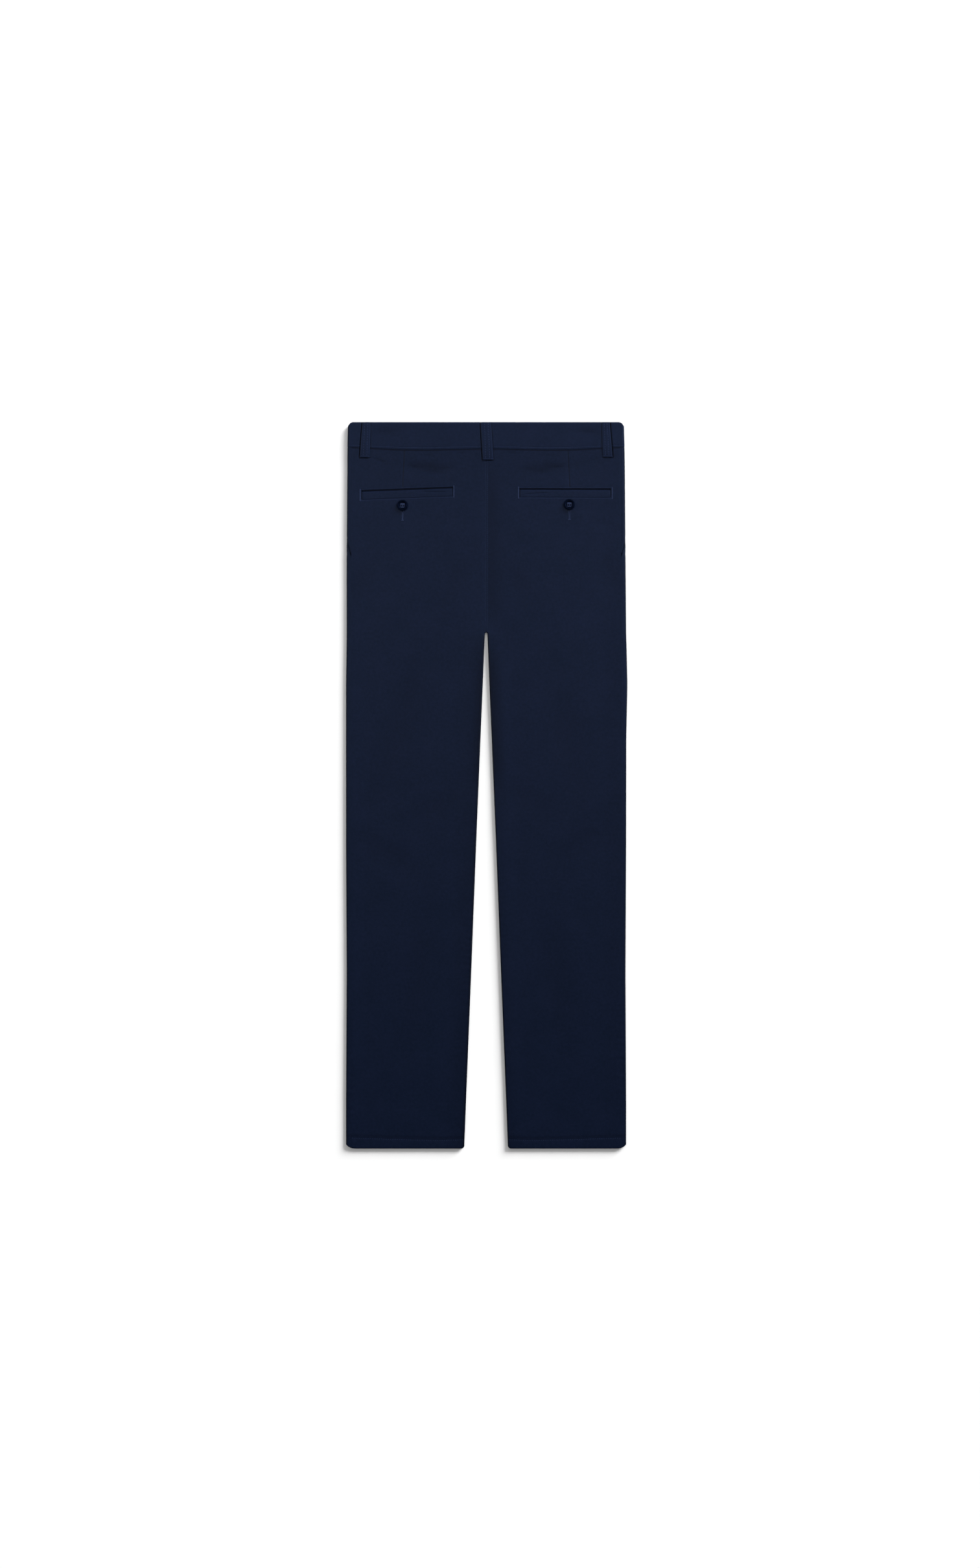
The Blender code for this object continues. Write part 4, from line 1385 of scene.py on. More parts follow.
@dataclass
class FrontPanel:
    """A front: from the fly and inseam, under the leg and round to the pocket and the side seam."""

    side: Side
    flat: tuple[float, float] = (0.213, 1.024)
    area: float = 0.206
    mouth_top: float = 46.0
    mouth_end: float = 200.0
    mouth_point: float = 2.0

    @property
    def top_row(self) -> float:
        """Nominal row at the waist seam, at the centre front."""
        return float(FORM.front_seam(CENTRE)) + 0.3

    @property
    def tip(self) -> float:
        """Nominal row at which the pocket's mouth comes to its point."""
        return self.mouth_end - (self.mouth_end - self.top_row) * self.mouth_point / self.mouth_top

    def mouth_width(self, row: Array) -> Array:
        """Distance of the pocket's mouth from the side seam, along a row."""
        share = (self.mouth_end - row) / (self.mouth_end - self.top_row)
        return self.mouth_top * np.clip(share, 0.0, 1.0)

    def surface(self, run: Array, drop: Array, depth: Array | float | None = None) -> Array:
        """Points of the outer face, pressed in at seams unless a depth is given.

        Args:
            run: runs of the places.
            drop: drops of the places.
            depth: how deep each place lies inside the outer face.

        Returns:
            Points in metres.
        """
        depth = self.pressed(run, drop) if depth is None else depth
        across, z = FORM.front_point(self.side, run, drop, depth)
        raised = np.where(run < FORM.side_edge(self.side, drop) - 8.0, self.lifted(run, drop), 0.0)
        return place(self.side, across, drop, z + raised)

    def lifted(self, run: Array, drop: Array) -> Array:
        """How far the face that lies on the table is raised by what is under it and by soft folds.

        Args:
            run: runs of the places.
            drop: drops of the places.

        Returns:
            The lift in millimetres.
        """
        lift = lift_of_front(self.side.value * run, drop)
        wave = np.sin(run / 17.0 + drop / 61.0) * np.sin(drop / 83.0 - run / 41.0)
        flat = smooth((run - 40.0) / 30.0) * fall((run - 160.0) / 30.0)
        return lift + 0.35 * flat * np.maximum(0.0, wave) * smooth((drop - 90.0) / 60.0)

    def pressed(self, run: Array, drop: Array) -> Array:
        """How far the face is pressed in beside its seams.

        Args:
            run: runs of the places.
            drop: drops of the places.

        Returns:
            The depth in millimetres.
        """
        _, start = FORM.inner_roll(self.side, drop, on_front=True)
        end = FORM.side_end(self.side, drop, on_front=True)
        across, _ = FORM.front_point(self.side, run, drop, 0.0)
        depth = SIDE_GROOVE * fade(end - self.mouth_width(drop) - run, SIDE_GROOVE_REACH)
        return depth + inseam_groove(run - start, drop) + under_band(drop - FORM.front_seam(across))

    def grid_run(self, columns: Array, row: Array, drop: Array) -> Array:
        """Run of every point of the grid.

        Args:
            columns: nominal run of each column.
            row: nominal row of each place.
            drop: drops of the places.

        Returns:
            The run of each point.
        """
        _, start = FORM.inner_roll(self.side, drop, on_front=True)
        end = FORM.side_end(self.side, drop, on_front=True) - self.mouth_width(row)
        anchors = (0.0, 6.0, 45.0, 190.0, 212.0)
        shoulder = np.minimum(np.full_like(drop, 152.0), end - 24.0)
        actual = [start, start + 6.0, np.full_like(drop, 45.0), shoulder, end]
        return warped(columns, anchors, actual)

    def build(self, shop: Workshop) -> None:
        """Makes the panel.

        Args:
            shop: dresses the piece.
        """
        rows = spaced(
            (self.top_row - 1.6, self.top_row + 2, 0.6), (self.top_row + 2, self.tip, 3.4),
            (self.tip, 204, 1.6), (204, 298, 3.6), *CROTCH_ROWS, (328, 850, 4),
            (850, 1050, 3.2), (1050, 1066, 1.4), *HEM_ROWS,
        )
        columns = spaced((0, 6, 0.75), (6, 45, 6), (45, 190, 6), (190, 212, 0.9))
        row = np.repeat(rows[:, None], len(columns), axis=1)
        drop = row.copy()
        for _ in range(ROUNDS):
            run = self.grid_run(columns, row, drop)
            across, _ = FORM.front_point(self.side, run, drop, 0.0)
            drop = FORM.row_drop(self.side, across, row, on_front=True)
        sheet = ClothSheet(f"front_{self.side.label}_cloth", rows, columns)
        depth = self.pressed(run, drop) + HEM_ROUND * fade(LENGTH - row, HEM_ROUND_REACH)
        shade_and_wear = -painted_edge_shade(self.side, across, drop)
        sheet.lay(self.surface(run, drop, depth), -self.side.value * run, drop, shade_and_wear)
        piece = sheet.finish(CLOTH_WALL, turn_over=self.side is Side.RIGHT)
        shop.dress(piece, shop.twill, CLOTH_SLOT, [f"front_{self.side.label}"])


@dataclass
class PocketFacing:
    """The cloth that shows in the front pocket's mouth and runs on a little way behind the front."""

    side: Side
    flat: tuple[float, float] = (0.048, 0.150)
    area: float = 0.0041
    overlap: float = 1.8

    def build(self, shop: Workshop) -> None:
        """Makes the facing.

        Args:
            shop: dresses the piece.
        """
        front = FrontPanel(self.side)
        upper = front.top_row
        rows = spaced((upper - 1.6, upper + 2, 0.6), (upper + 2, front.tip, 3.2))
        columns = spaced((0, 40, 1.5), (40, front.mouth_top, 0.5))
        row = np.repeat(rows[:, None], len(columns), axis=1)
        share = np.broadcast_to(columns / front.mouth_top, row.shape)
        drop = row.copy()
        for _ in range(ROUNDS):
            end = FORM.side_end(self.side, drop, on_front=True)
            run = end - share * (front.mouth_width(row) + self.overlap)
            across, _ = FORM.front_point(self.side, run, drop, 0.0)
            drop = FORM.row_drop(self.side, across, row, on_front=True)
        from_mouth = run - (end - front.mouth_width(row))
        behind = fall((from_mouth - 0.3) / 2.2)
        depth = 0.07 * fade(end - run, 1.7) + (CLOTH_WALL + 0.12) * behind
        points = front.surface(run, drop, depth + under_band(drop - FORM.front_seam(across)))
        sheet = ClothSheet(f"pocket_facing_{self.side.label}_cloth", rows, columns)
        sheet.lay(points, -self.side.value * run, drop, -painted_edge_shade(self.side, across, drop))
        piece = sheet.finish(CLOTH_WALL, turn_over=self.side is Side.LEFT)
        shop.dress(piece, shop.twill, CLOTH_SLOT, [f"pocket_facing_{self.side.label}"])


@dataclass
class Waistband:
    """Half the waistband: from the centre back over the back, round the side and under the front."""

    side: Side
    width: float = 0.0405
    lengths: tuple[float, float] = (0.450, 0.376)
    wall: float = 1.2
    lift: float = 0.16
    tab_reach: float = 36.0
    face_width: float = 39.0
    # A drop inside the band, at which the folded side and its radius are measured
    middle: float = 20.0
    side_radius: float = 3.2
    # Girths below this lie on the back
    back_end: float = 200.0
    top_corner: tuple[float, float, float] = (5.2, 8.5, 2.3)
    stitch_shares: tuple[float, float] = (0.036, 0.922)
    trench_depth: float = 1.15

    def girth_across(self, girth: Array, drop: Array, depth: Array | float) -> tuple[Array, Array, Array]:
        """Where a girth from the centre back lies: distance across, turn round the side, radius.

        Args:
            girth: distance along the band from the centre back.
            drop: drops of the places.
            depth: how deep each place lies inside the outer face.

        Returns:
            The distance across, the turn and the radius at each place.
        """
        radius = FORM.radius(drop)
        fold = FORM.side_edge(self.side, drop) - radius
        turn = np.clip((girth - fold) / radius, 0.0, math.pi)
        across = np.where(girth < fold, girth, fold + (radius - depth) * np.sin(turn))
        beyond = girth > fold + math.pi * radius
        across = np.where(beyond, fold - (girth - fold - math.pi * radius), across)
        return across, turn, radius

    def drop_at(self, across: Array, turn: Array, share: Array) -> Array:
        """Drop at a share of the band's width, from its free edge to its seam.

        Args:
            across: distances of the places, straight across.
            turn: how far round the side, in radians.
            share: share of the way from the free edge to the seam.

        Returns:
            The drop of each place.
        """
        dip = FORM.front_dip(across) * (turn > 0.5 * math.pi)
        from_side = FORM.side_edge(self.side, WAIST) - across
        top = dip + corner(from_side, *self.top_corner)
        return top + share * (FORM.back_seam(across) + dip - top)

    def surface(self, girth: Array, share: Array, depth: Array | float | None = None) -> Array:
        """Points of the outer face at a girth and at a share of the width.

        Args:
            girth: distance along the band from the centre back.
            share: share of the way from the free edge to the seam.
            depth: how deep each place lies inside the outer face.

        Returns:
            Points in metres.
        """
        middle = np.full(np.broadcast(girth, share).shape, self.middle)
        across, turn, _ = self.girth_across(girth, middle, 0.0)
        drop = self.drop_at(across, turn, share)
        depth = self.pressed(girth, share, drop) if depth is None else depth
        depth = depth - self.lift * fall(turn / 1.2)
        across, turn, radius = self.girth_across(girth, drop, depth)
        z = radius + (radius - depth) * np.cos(turn)
        z = z - np.maximum(0.0, np.cos(turn)) * FORM.dip_of_top(self.side, np.abs(across), drop)
        under = turn >= math.pi
        z = z + np.where(under, lift_of_front(self.side.value * across, drop), 0.0)
        return place(self.side, across, drop, z)

    def pressed(self, girth: Array, share: Array, drop: Array) -> Array:
        """How far the face is pressed in at its edges, at its stitches and beside belt loops.

        Args:
            girth: distance along the band from the centre back.
            share: share of the way from the free edge to the seam.
            drop: drops of the places.

        Returns:
            The depth in millimetres.
        """
        from_top, from_seam = share * self.face_width, (1.0 - share) * self.face_width
        edges = 0.5 * fade(from_top, 1.1) + 0.25 * fade(from_seam, 1.5)
        stitches = 0.12 * bump(from_seam - 3.0, 0.7) + 0.1 * bump(from_top - 1.4, 0.7)
        return edges + stitches + self.trench_depth * self.trenches(girth, drop)

    def trenches(self, girth: Array, drop: Array) -> Array:
        """How far each place lies in the lines beside the belt loops on the back."""
        lines = sum(loop.trench(self.side.value * girth, drop) for loop in BACK_LOOPS)
        return lines * (girth < self.back_end)

    def build(self, shop: Workshop) -> None:
        """Makes the half.

        Args:
            shop: dresses the piece.
        """
        side_edge = float(FORM.side_edge(self.side, np.array(self.middle)))
        end = 2.0 * side_edge + (math.pi - 2.0) * self.side_radius
        end = end + (self.tab_reach if self.side is Side.LEFT else -self.tab_reach - 0.3)
        shares = spaced((0, 0.05, 0.0125), (0.05, 0.12, 0.024), (0.12, 0.88, 0.04), (0.88, 1, 0.0125))
        columns = spaced(
            (0, 12, 0.45), (12, 166, 2.2), (166, 191, 0.45), (191, 199, 1.2),
            (199, 214, 0.75), (214, end, 3),
        )
        share = np.repeat(shares[:, None], len(columns), axis=1)
        girth = np.broadcast_to(columns, share.shape)
        sheet = ClothSheet(f"waistband_{self.side.label}_cloth", shares, columns)
        across, turn, _ = self.girth_across(girth, np.full(share.shape, self.middle), 0.0)
        drop = self.drop_at(across, turn, share)
        # Painted shade in the folds on the back and in the lines beside the belt loops; elsewhere the band is
        # a little lighter all over
        shade_and_wear = 0.08 - painted_fold_shade(self.side, across, drop) * (girth < self.back_end)
        shade_and_wear = shade_and_wear - TRENCH_SHADE * self.trenches(girth, drop)
        sheet.lay(self.surface(girth, share), self.side.value * girth, self.face_width * share, shade_and_wear)
        piece = sheet.finish(self.wall, turn_over=self.side is Side.LEFT)
        shop.dress(piece, shop.twill, CLOTH_SLOT, [f"waistband_{self.side.label}"])


@dataclass
class Welt:
    """The folded strip that fills a back pocket's window below its mouth."""

    side: Side
    flat: tuple[float, float] = (0.138, 0.0148)
    mouth: float = 0.6
    tongue: float = 1.3
    wall: float = 0.8

    def surface(self, run: Array, row: Array) -> Array:
        """Points of the strip, from a run and a distance below the window's upper edge.

        Args:
            run: runs of the places.
            row: distance below the window's upper edge.

        Returns:
            Points in metres.
        """
        pocket = POCKETS[self.side]
        drop = pocket.inner_drop + pocket.shift(run) + row
        sink = 0.35 * fall((row - 1.0) / 9.0) + 1.5 * fall((row - 1.1) / 1.3)
        ends = np.minimum(run - pocket.inner_run, pocket.outer_run - run)
        sink = sink + 1.2 * fall((ends + 0.2) / 1.5)
        # The strip's lower edge is pressed in most beside the button
        press = 0.6 + 0.3 * bump(run - 126.0, 22.0)
        sink = sink + press * fall((pocket.depth - row + 1.0) / 1.5)
        # A soft crease runs along the strip near its inner end
        crease = 5.6 - 0.045 * (run - 72.0) if self.side is Side.LEFT else 7.4 - 0.055 * (run - 62.0)
        near = smooth((run - 53.0) / 12.0) * fall((run - 84.0) / 16.0)
        below = row - crease
        sink = sink + 0.42 * near * bump(below - 1.0, 0.9) - 0.12 * near * bump(below + 1.2, 1.3)
        return place(self.side, run, drop, FORM.top(self.side, run, drop) - sink)

    def build(self, shop: Workshop) -> None:
        """Makes the strip.

        Args:
            shop: dresses the piece.
        """
        pocket = POCKETS[self.side]
        first, last = pocket.inner_run - self.tongue, pocket.outer_run + self.tongue
        bottom = pocket.depth + self.tongue
        rows = spaced((self.mouth, 2.8, 0.3), (2.8, 10.6, 0.7), (10.6, bottom, 0.4))
        columns = spaced((first, first + 3.2, 0.4), (first + 3.2, last - 3.2, 2), (last - 3.2, last, 0.4))
        row = np.repeat(rows[:, None], len(columns), axis=1)
        run = np.broadcast_to(columns, row.shape)
        sheet = ClothSheet(f"welt_{self.side.label}_cloth", rows, columns)
        ends = np.minimum(run - pocket.inner_run, pocket.outer_run - run)
        # Painted shade in the pocket's mouth and at the strip's two ends, and a lighter line just below the
        # mouth
        shade_and_wear = 0.2 * bump(row - 3.2, 0.9) - 0.95 * fall((row - 1.5) / 0.9)
        shade_and_wear = shade_and_wear - 0.8 * fade(ends + 0.3, 1.6)
        sheet.lay(self.surface(run, row), self.side.value * run, row, shade_and_wear)
        piece = sheet.finish(self.wall, turn_over=self.side is Side.LEFT)
        shop.dress(piece, shop.twill, CLOTH_SLOT, [f"welt_{self.side.label}"])


@dataclass
class BeltLoop:
    """A belt loop: a folded strap, stitched down at its two ends and bowed between them."""

    loop: LoopPlace
    on_back: bool
    wall: float = 0.8
    bow: float = 0.35
    gap: float = 0.08
    # Half the width and the length that its weave is drawn for
    weave_half_width: float = 8.0
    weave_length: float = 52.0

    def surface(self, share: Array, crosswise: Array) -> Array:
        """Points of the outer face, from a share of the length and a place from -1 to 1 across.

        Args:
            share: share of the length, from the top.
            crosswise: place across, from -1 to 1.

        Returns:
            Points in metres.
        """
        loop = self.loop
        x = loop.middle(share) + crosswise * loop.half_width(share)
        drop = loop.top + share * (loop.end - loop.top)
        rim = (1.0 - np.abs(crosswise)) * loop.half_width(share)
        length = loop.end - loop.top
        ends = np.minimum(share, 1.0 - share) * length
        rounded = 0.4 * fade(rim, 0.8) + 0.4 * fade(ends, 0.8)
        dent = sum(
            bump((crosswise - (top + share * (end - top))) * loop.half_width(share), 0.8)
            for top, end in zip(loop.columns_top, loop.columns_end)
        )
        dent = 0.14 * dent + 0.3 * bump((1.0 - share) * length - 2.4, 0.8)
        if not self.on_back:
            return place(Side.RIGHT, x, drop, np.zeros_like(x) + rounded)
        # The centre loop lies on the right half's form
        side = Side.LEFT if loop.x_top < -20 else Side.RIGHT
        under = FORM.top(side, np.abs(x), np.maximum(drop, 0.0)) + Waistband.lift
        seated = smooth((1.0 - share) * length / 12.0)
        z = under + self.gap + self.wall + self.bow * np.sin(math.pi * np.clip(share, 0, 1)) ** 0.8 * seated
        return place(Side.RIGHT, x, drop, z + 0.2 * (1.0 - crosswise**2) - rounded - dent)

    def build(self, shop: Workshop) -> None:
        """Makes the loop.

        Args:
            shop: dresses the piece.
        """
        shares = spaced((0, 0.03, 0.0075), (0.03, 0.9, 0.03), (0.9, 1, 0.01))
        columns = spaced((-1, -0.84, 0.04), (-0.84, 0.84, 0.07), (0.84, 1, 0.04))
        share = np.repeat(shares[:, None], len(columns), axis=1)
        crosswise = np.broadcast_to(columns, share.shape)
        sheet = ClothSheet(f"{self.loop.name}_cloth", shares, columns)
        rim = (1.0 - np.abs(crosswise)) * self.weave_half_width
        shade_and_wear = 0.1 + 0.16 * bump(rim - 1.2, 0.8) + 0.1 * fade((1.0 - share) * self.weave_length, 1.6)
        weft, warp = self.weave_half_width * crosswise, self.weave_length * share
        sheet.lay(self.surface(share, crosswise), weft, warp, shade_and_wear)
        piece = sheet.finish(self.wall, turn_over=not self.on_back)
        shop.dress(piece, shop.twill, CLOTH_SLOT, [self.loop.name])


@dataclass
class Button:
    """A four-hole button with a raised rim and a dished middle, turned from a disc and drilled."""

    spot: ButtonPlace
    rim: float = 2.2
    dish: float = 0.75
    hole: float = 0.8
    hole_offset: float = 1.45
    segments: int = 48
    # How far it is held off the cloth, and how far the foot that it stands on is raised
    clear_of_cloth: float = 0.25
    foot: float = 0.12
    soft_angle: float = 38.0

    def seat(self) -> float:
        """Height of the button's underside.

        Returns:
            The height in millimetres.
        """
        if not self.spot.face_up:
            return 0.0
        side = Side.LEFT if self.spot.x < 0 else Side.RIGHT
        turns = np.linspace(0.0, 2.0 * math.pi, 25)
        around = np.abs(self.spot.x + self.spot.radius * np.cos(turns))
        heights = FORM.top(side, around, self.spot.drop + self.spot.radius * np.sin(turns))
        return float(heights.max()) + self.clear_of_cloth

    def turned_disc(self) -> Piece:
        """The button's body, turned with its rim and its dished middle, at the origin.

        Returns:
            The body.
        """
        clear_selection()
        bpy.ops.mesh.primitive_cylinder_add(
            vertices=self.segments, radius=self.spot.radius * MM, depth=self.spot.thick * MM
        )
        body = bpy.context.object
        body.name = f"{self.spot.name}_resin"
        steps = (
            (0.55, 0.0), (0.55 * self.rim, 0.12), (0.35 * self.rim, -0.1), (0.5, -0.45),
            (0.5, 0.33 - self.dish), (1.6, -0.02),
        )
        pick_faces(body, face_tilts(body) > 0.9)
        for inset, rise in steps:
            bpy.ops.mesh.inset(thickness=inset * MM)
            bpy.ops.transform.translate(value=(0.0, 0.0, rise * MM))
        bpy.ops.object.mode_set(mode="OBJECT")
        pick_faces(body, face_tilts(body) < -0.9)
        bpy.ops.mesh.inset(thickness=1.4 * MM)
        bpy.ops.transform.translate(value=(0.0, 0.0, -self.foot * MM))
        bpy.ops.object.mode_set(mode="OBJECT")
        apply_modifier(
            body, "BEVEL", width=0.42 * MM, segments=3, limit_method="ANGLE", angle_limit=SOFT_ANGLE
        )
        return body

    def drill(self, body: Piece) -> None:
        """Drills the four holes for the thread.

        Args:
            body: the button's body, at the origin.
        """
        for way_x in (-1, 1):
            for way_y in (-1, 1):
                clear_selection()
                bpy.ops.mesh.primitive_cylinder_add(
                    vertices=20, radius=self.hole * MM, depth=4.0 * self.spot.thick * MM,
                    location=(way_x * self.hole_offset * MM, way_y * self.hole_offset * MM, 0.0),
                )
                bit = bpy.context.object
                apply_modifier(body, "BOOLEAN", operation="DIFFERENCE", solver="EXACT", object=bit)
                bpy.data.objects.remove(bit)

    def build(self, shop: Workshop) -> None:
        """Makes the button.

        Args:
            shop: dresses the piece.
        """
        body = self.turned_disc()
        self.drill(body)
        centre = place(Side.RIGHT, np.array(self.spot.x), np.array(self.spot.drop), np.array(self.seat()))
        if not self.spot.face_up:
            only(body)
            bpy.ops.transform.rotate(value=math.pi, orient_axis="X", center_override=(0.0, 0.0, 0.0))
        middle = (0.5 * self.spot.thick + self.foot) * MM
        body.location = Vector(centre) + Vector((0.0, 0.0, middle))
        only(body)
        bpy.ops.object.transform_apply(location=True, rotation=True, scale=True)
        bpy.ops.object.shade_smooth_by_angle(angle=math.radians(self.soft_angle))
        shop.dress(body, shop.resin, RESIN_SLOT, [self.spot.name])


@dataclass(frozen=True)
class StitchSize:
    """One stitch: how long, wide and high it is, and how far the next one is."""

    length: float
    width: float
    height: float
    pitch: float


TOPSTITCH = StitchSize(length=1.9, width=0.66, height=0.5, pitch=2.6)
LOOP_STITCH = StitchSize(length=2.6, width=0.7, height=0.55, pitch=3.5)
HEM_STITCH = StitchSize(length=2.1, width=0.5, height=0.4, pitch=3.3)
CENTRE_STITCH = StitchSize(length=1.9, width=0.42, height=0.36, pitch=2.9)
BOX_STITCH = StitchSize(length=1.35, width=0.56, height=0.48, pitch=2.0)
SATIN = StitchSize(length=1.9, width=0.55, height=0.5, pitch=0.5)
LOOP_TACK = StitchSize(length=1.5, width=0.62, height=0.5, pitch=1.5)
BUTTONHOLE_LIP = StitchSize(length=1.0, width=0.5, height=0.5, pitch=0.46)
BUTTONHOLE_BAR = StitchSize(length=1.5, width=0.55, height=0.7, pitch=0.45)
# The button thread's strands: where each starts and ends across, its middle, and how long it is.
# They fill the dish but for its two lower holes, and one cord of them runs on between these
STRANDS = (
    (-3.2, 3.2, -1.5, 3.4), (-3.3, -2.5, 0.6, 5.4), (2.5, 3.3, 0.6, 5.4), (-0.5, 0.5, 0.5, 6.4),
    (-2.6, 2.6, 2.9, 1.7),
)
# The steps over which a surface's normal is taken, for a share and for millimetres
SHARE_STEP = 0.02
MM_STEP = 0.4
SHARE_LIMIT = 1.001


class ThreadWork:
    """Rows of stitches: one stitch is modelled once and copied along every row."""

    def __init__(self, shop: Workshop) -> None:
        """Models the stitch: a bar of thread whose two ends taper into the cloth.

        Args:
            shop: dresses the pieces of thread.
        """
        self.shop = shop
        clear_selection()
        bpy.ops.mesh.primitive_uv_sphere_add(segments=6, ring_count=6, radius=0.5)
        pattern = bpy.context.object
        only(pattern)
        bpy.ops.object.mode_set(mode="EDIT")
        bpy.ops.mesh.select_all(action="SELECT")
        bpy.ops.transform.rotate(value=0.5 * math.pi, orient_axis="Y", center_override=(0.0, 0.0, 0.0))
        bpy.ops.object.mode_set(mode="OBJECT")
        points = read_points(pattern)
        # Its middle is kept full, so that it reads as a bar and not as a bead
        full = np.sign(points) * np.abs(2.0 * points) ** 0.8 * 0.5
        self.points = np.stack((points[:, 0], full[:, 1], full[:, 2]), axis=-1)
        self.faces = [tuple(face.vertices) for face in pattern.data.polygons]
        bpy.data.objects.remove(pattern)
        self.rows: list[Array] = []

    def row(
        self,
        surface: Surface,
        first: Sequence[float] | Array,
        second: Sequence[float] | Array,
        size: StitchSize,
        outward: float,
        crosswise: bool = False,
        sink: float = 0.0,
    ) -> None:
        """Sews a row of stitches along a path on a surface.

        Args:
            surface: gives points in metres for two coordinates in its own units.
            first: the path's first coordinate at each of its corners.
            second: the path's second coordinate at each of its corners.
            size: the stitch.
            outward: 1 or -1, which way the surface's normal points for its two coordinates.
            crosswise: whether the stitches lie across the path, as in a bar tack.
            sink: how far they are pressed below the face, in millimetres.
        """
        corners = np.linspace(0.0, 1.0, len(first))
        fine = np.linspace(0.0, 1.0, 400)
        a, b = np.interp(fine, corners, first), np.interp(fine, corners, second)
        steps = np.linalg.norm(np.diff(surface(a, b), axis=0), axis=1)
        length = np.concatenate(([0.0], np.cumsum(steps))) / MM
        count = max(1, int(length[-1] / size.pitch))
        at = (np.arange(count) + 0.5) * length[-1] / count
        share = np.interp(at, length, fine)
        before, after = np.interp(at - 0.3, length, fine), np.interp(at + 0.3, length, fine)

        def along(where: Array, shift_a: float = 0.0, shift_b: float = 0.0) -> Array:
            """Points of the path, moved aside on the surface."""
            return surface(np.interp(where, fine, a) + shift_a, np.interp(where, fine, b) + shift_b)

        centre = along(share)
        tangent = unit(along(after) - along(before))
        # A coordinate that stays within 1 is taken for a share
        small = SHARE_STEP if np.ptp(b) <= SHARE_LIMIT and np.max(np.abs(b)) <= SHARE_LIMIT else MM_STEP
        small_a = SHARE_STEP if np.max(np.abs(a)) <= SHARE_LIMIT else MM_STEP
        over_a = along(share, shift_a=small_a) - along(share, shift_a=-small_a)
        over_b = along(share, shift_b=small) - along(share, shift_b=-small)
        normal = unit(np.cross(over_a, over_b)) * outward
        sideways = unit(np.cross(normal, tangent))
        index = np.arange(count)
        lean = 0.07 + 0.05 * np.sin(2.4 * index)
        long_way = unit(tangent + lean[:, None] * sideways)
        if crosswise:
            long_way = unit(sideways + (0.12 + 0.1 * np.sin(1.9 * index))[:, None] * tangent)
        across = unit(np.cross(normal, long_way))
        stretch = 1.0 + 0.06 * np.sin(1.7 * index + 0.4)
        local = self.points * (np.array((size.length, size.width, size.height)) * MM)
        points = centre[:, None, :] + (local[None, :, :1] * stretch[:, None, None]) * long_way[:, None, :]
        points = points + local[None, :, 1:2] * across[:, None, :]
        points = points + (local[None, :, 2:] - sink * MM) * normal[:, None, :]
        self.rows.append(points)

    def collect(self, name: str, bright: bool = False) -> None:
        """Joins the rows sewn so far into one piece and starts afresh.

        Args:
            name: the piece's name.
            bright: whether the thread is the lighter one.
        """
        stitches = np.concatenate(self.rows)
        count, size = len(stitches), len(self.points)
        faces = [tuple(k * size + v for v in face) for k in range(count) for face in self.faces]
        mesh = bpy.data.meshes.new(name)
        mesh.from_pydata(stitches.reshape(-1, 3).tolist(), [], faces)
        mesh.update()
        piece = bpy.data.objects.new(name, mesh)
        bpy.context.scene.collection.objects.link(piece)
        only(piece)
        bpy.ops.object.mode_set(mode="EDIT")
        bpy.ops.mesh.select_all(action="SELECT")
        bpy.ops.mesh.normals_make_consistent(inside=False)
        bpy.ops.object.mode_set(mode="OBJECT")
        bpy.ops.object.shade_smooth()
        self.rows = []
        log.info("%s: %d stitches", name, count)
        self.shop.dress(piece, self.shop.bright_thread if bright else self.shop.thread, CLOTH_SLOT)


def unit(vectors: Array) -> Array:
    """The vectors at length 1."""
    return vectors / np.maximum(np.linalg.norm(vectors, axis=-1, keepdims=True), 1e-12)


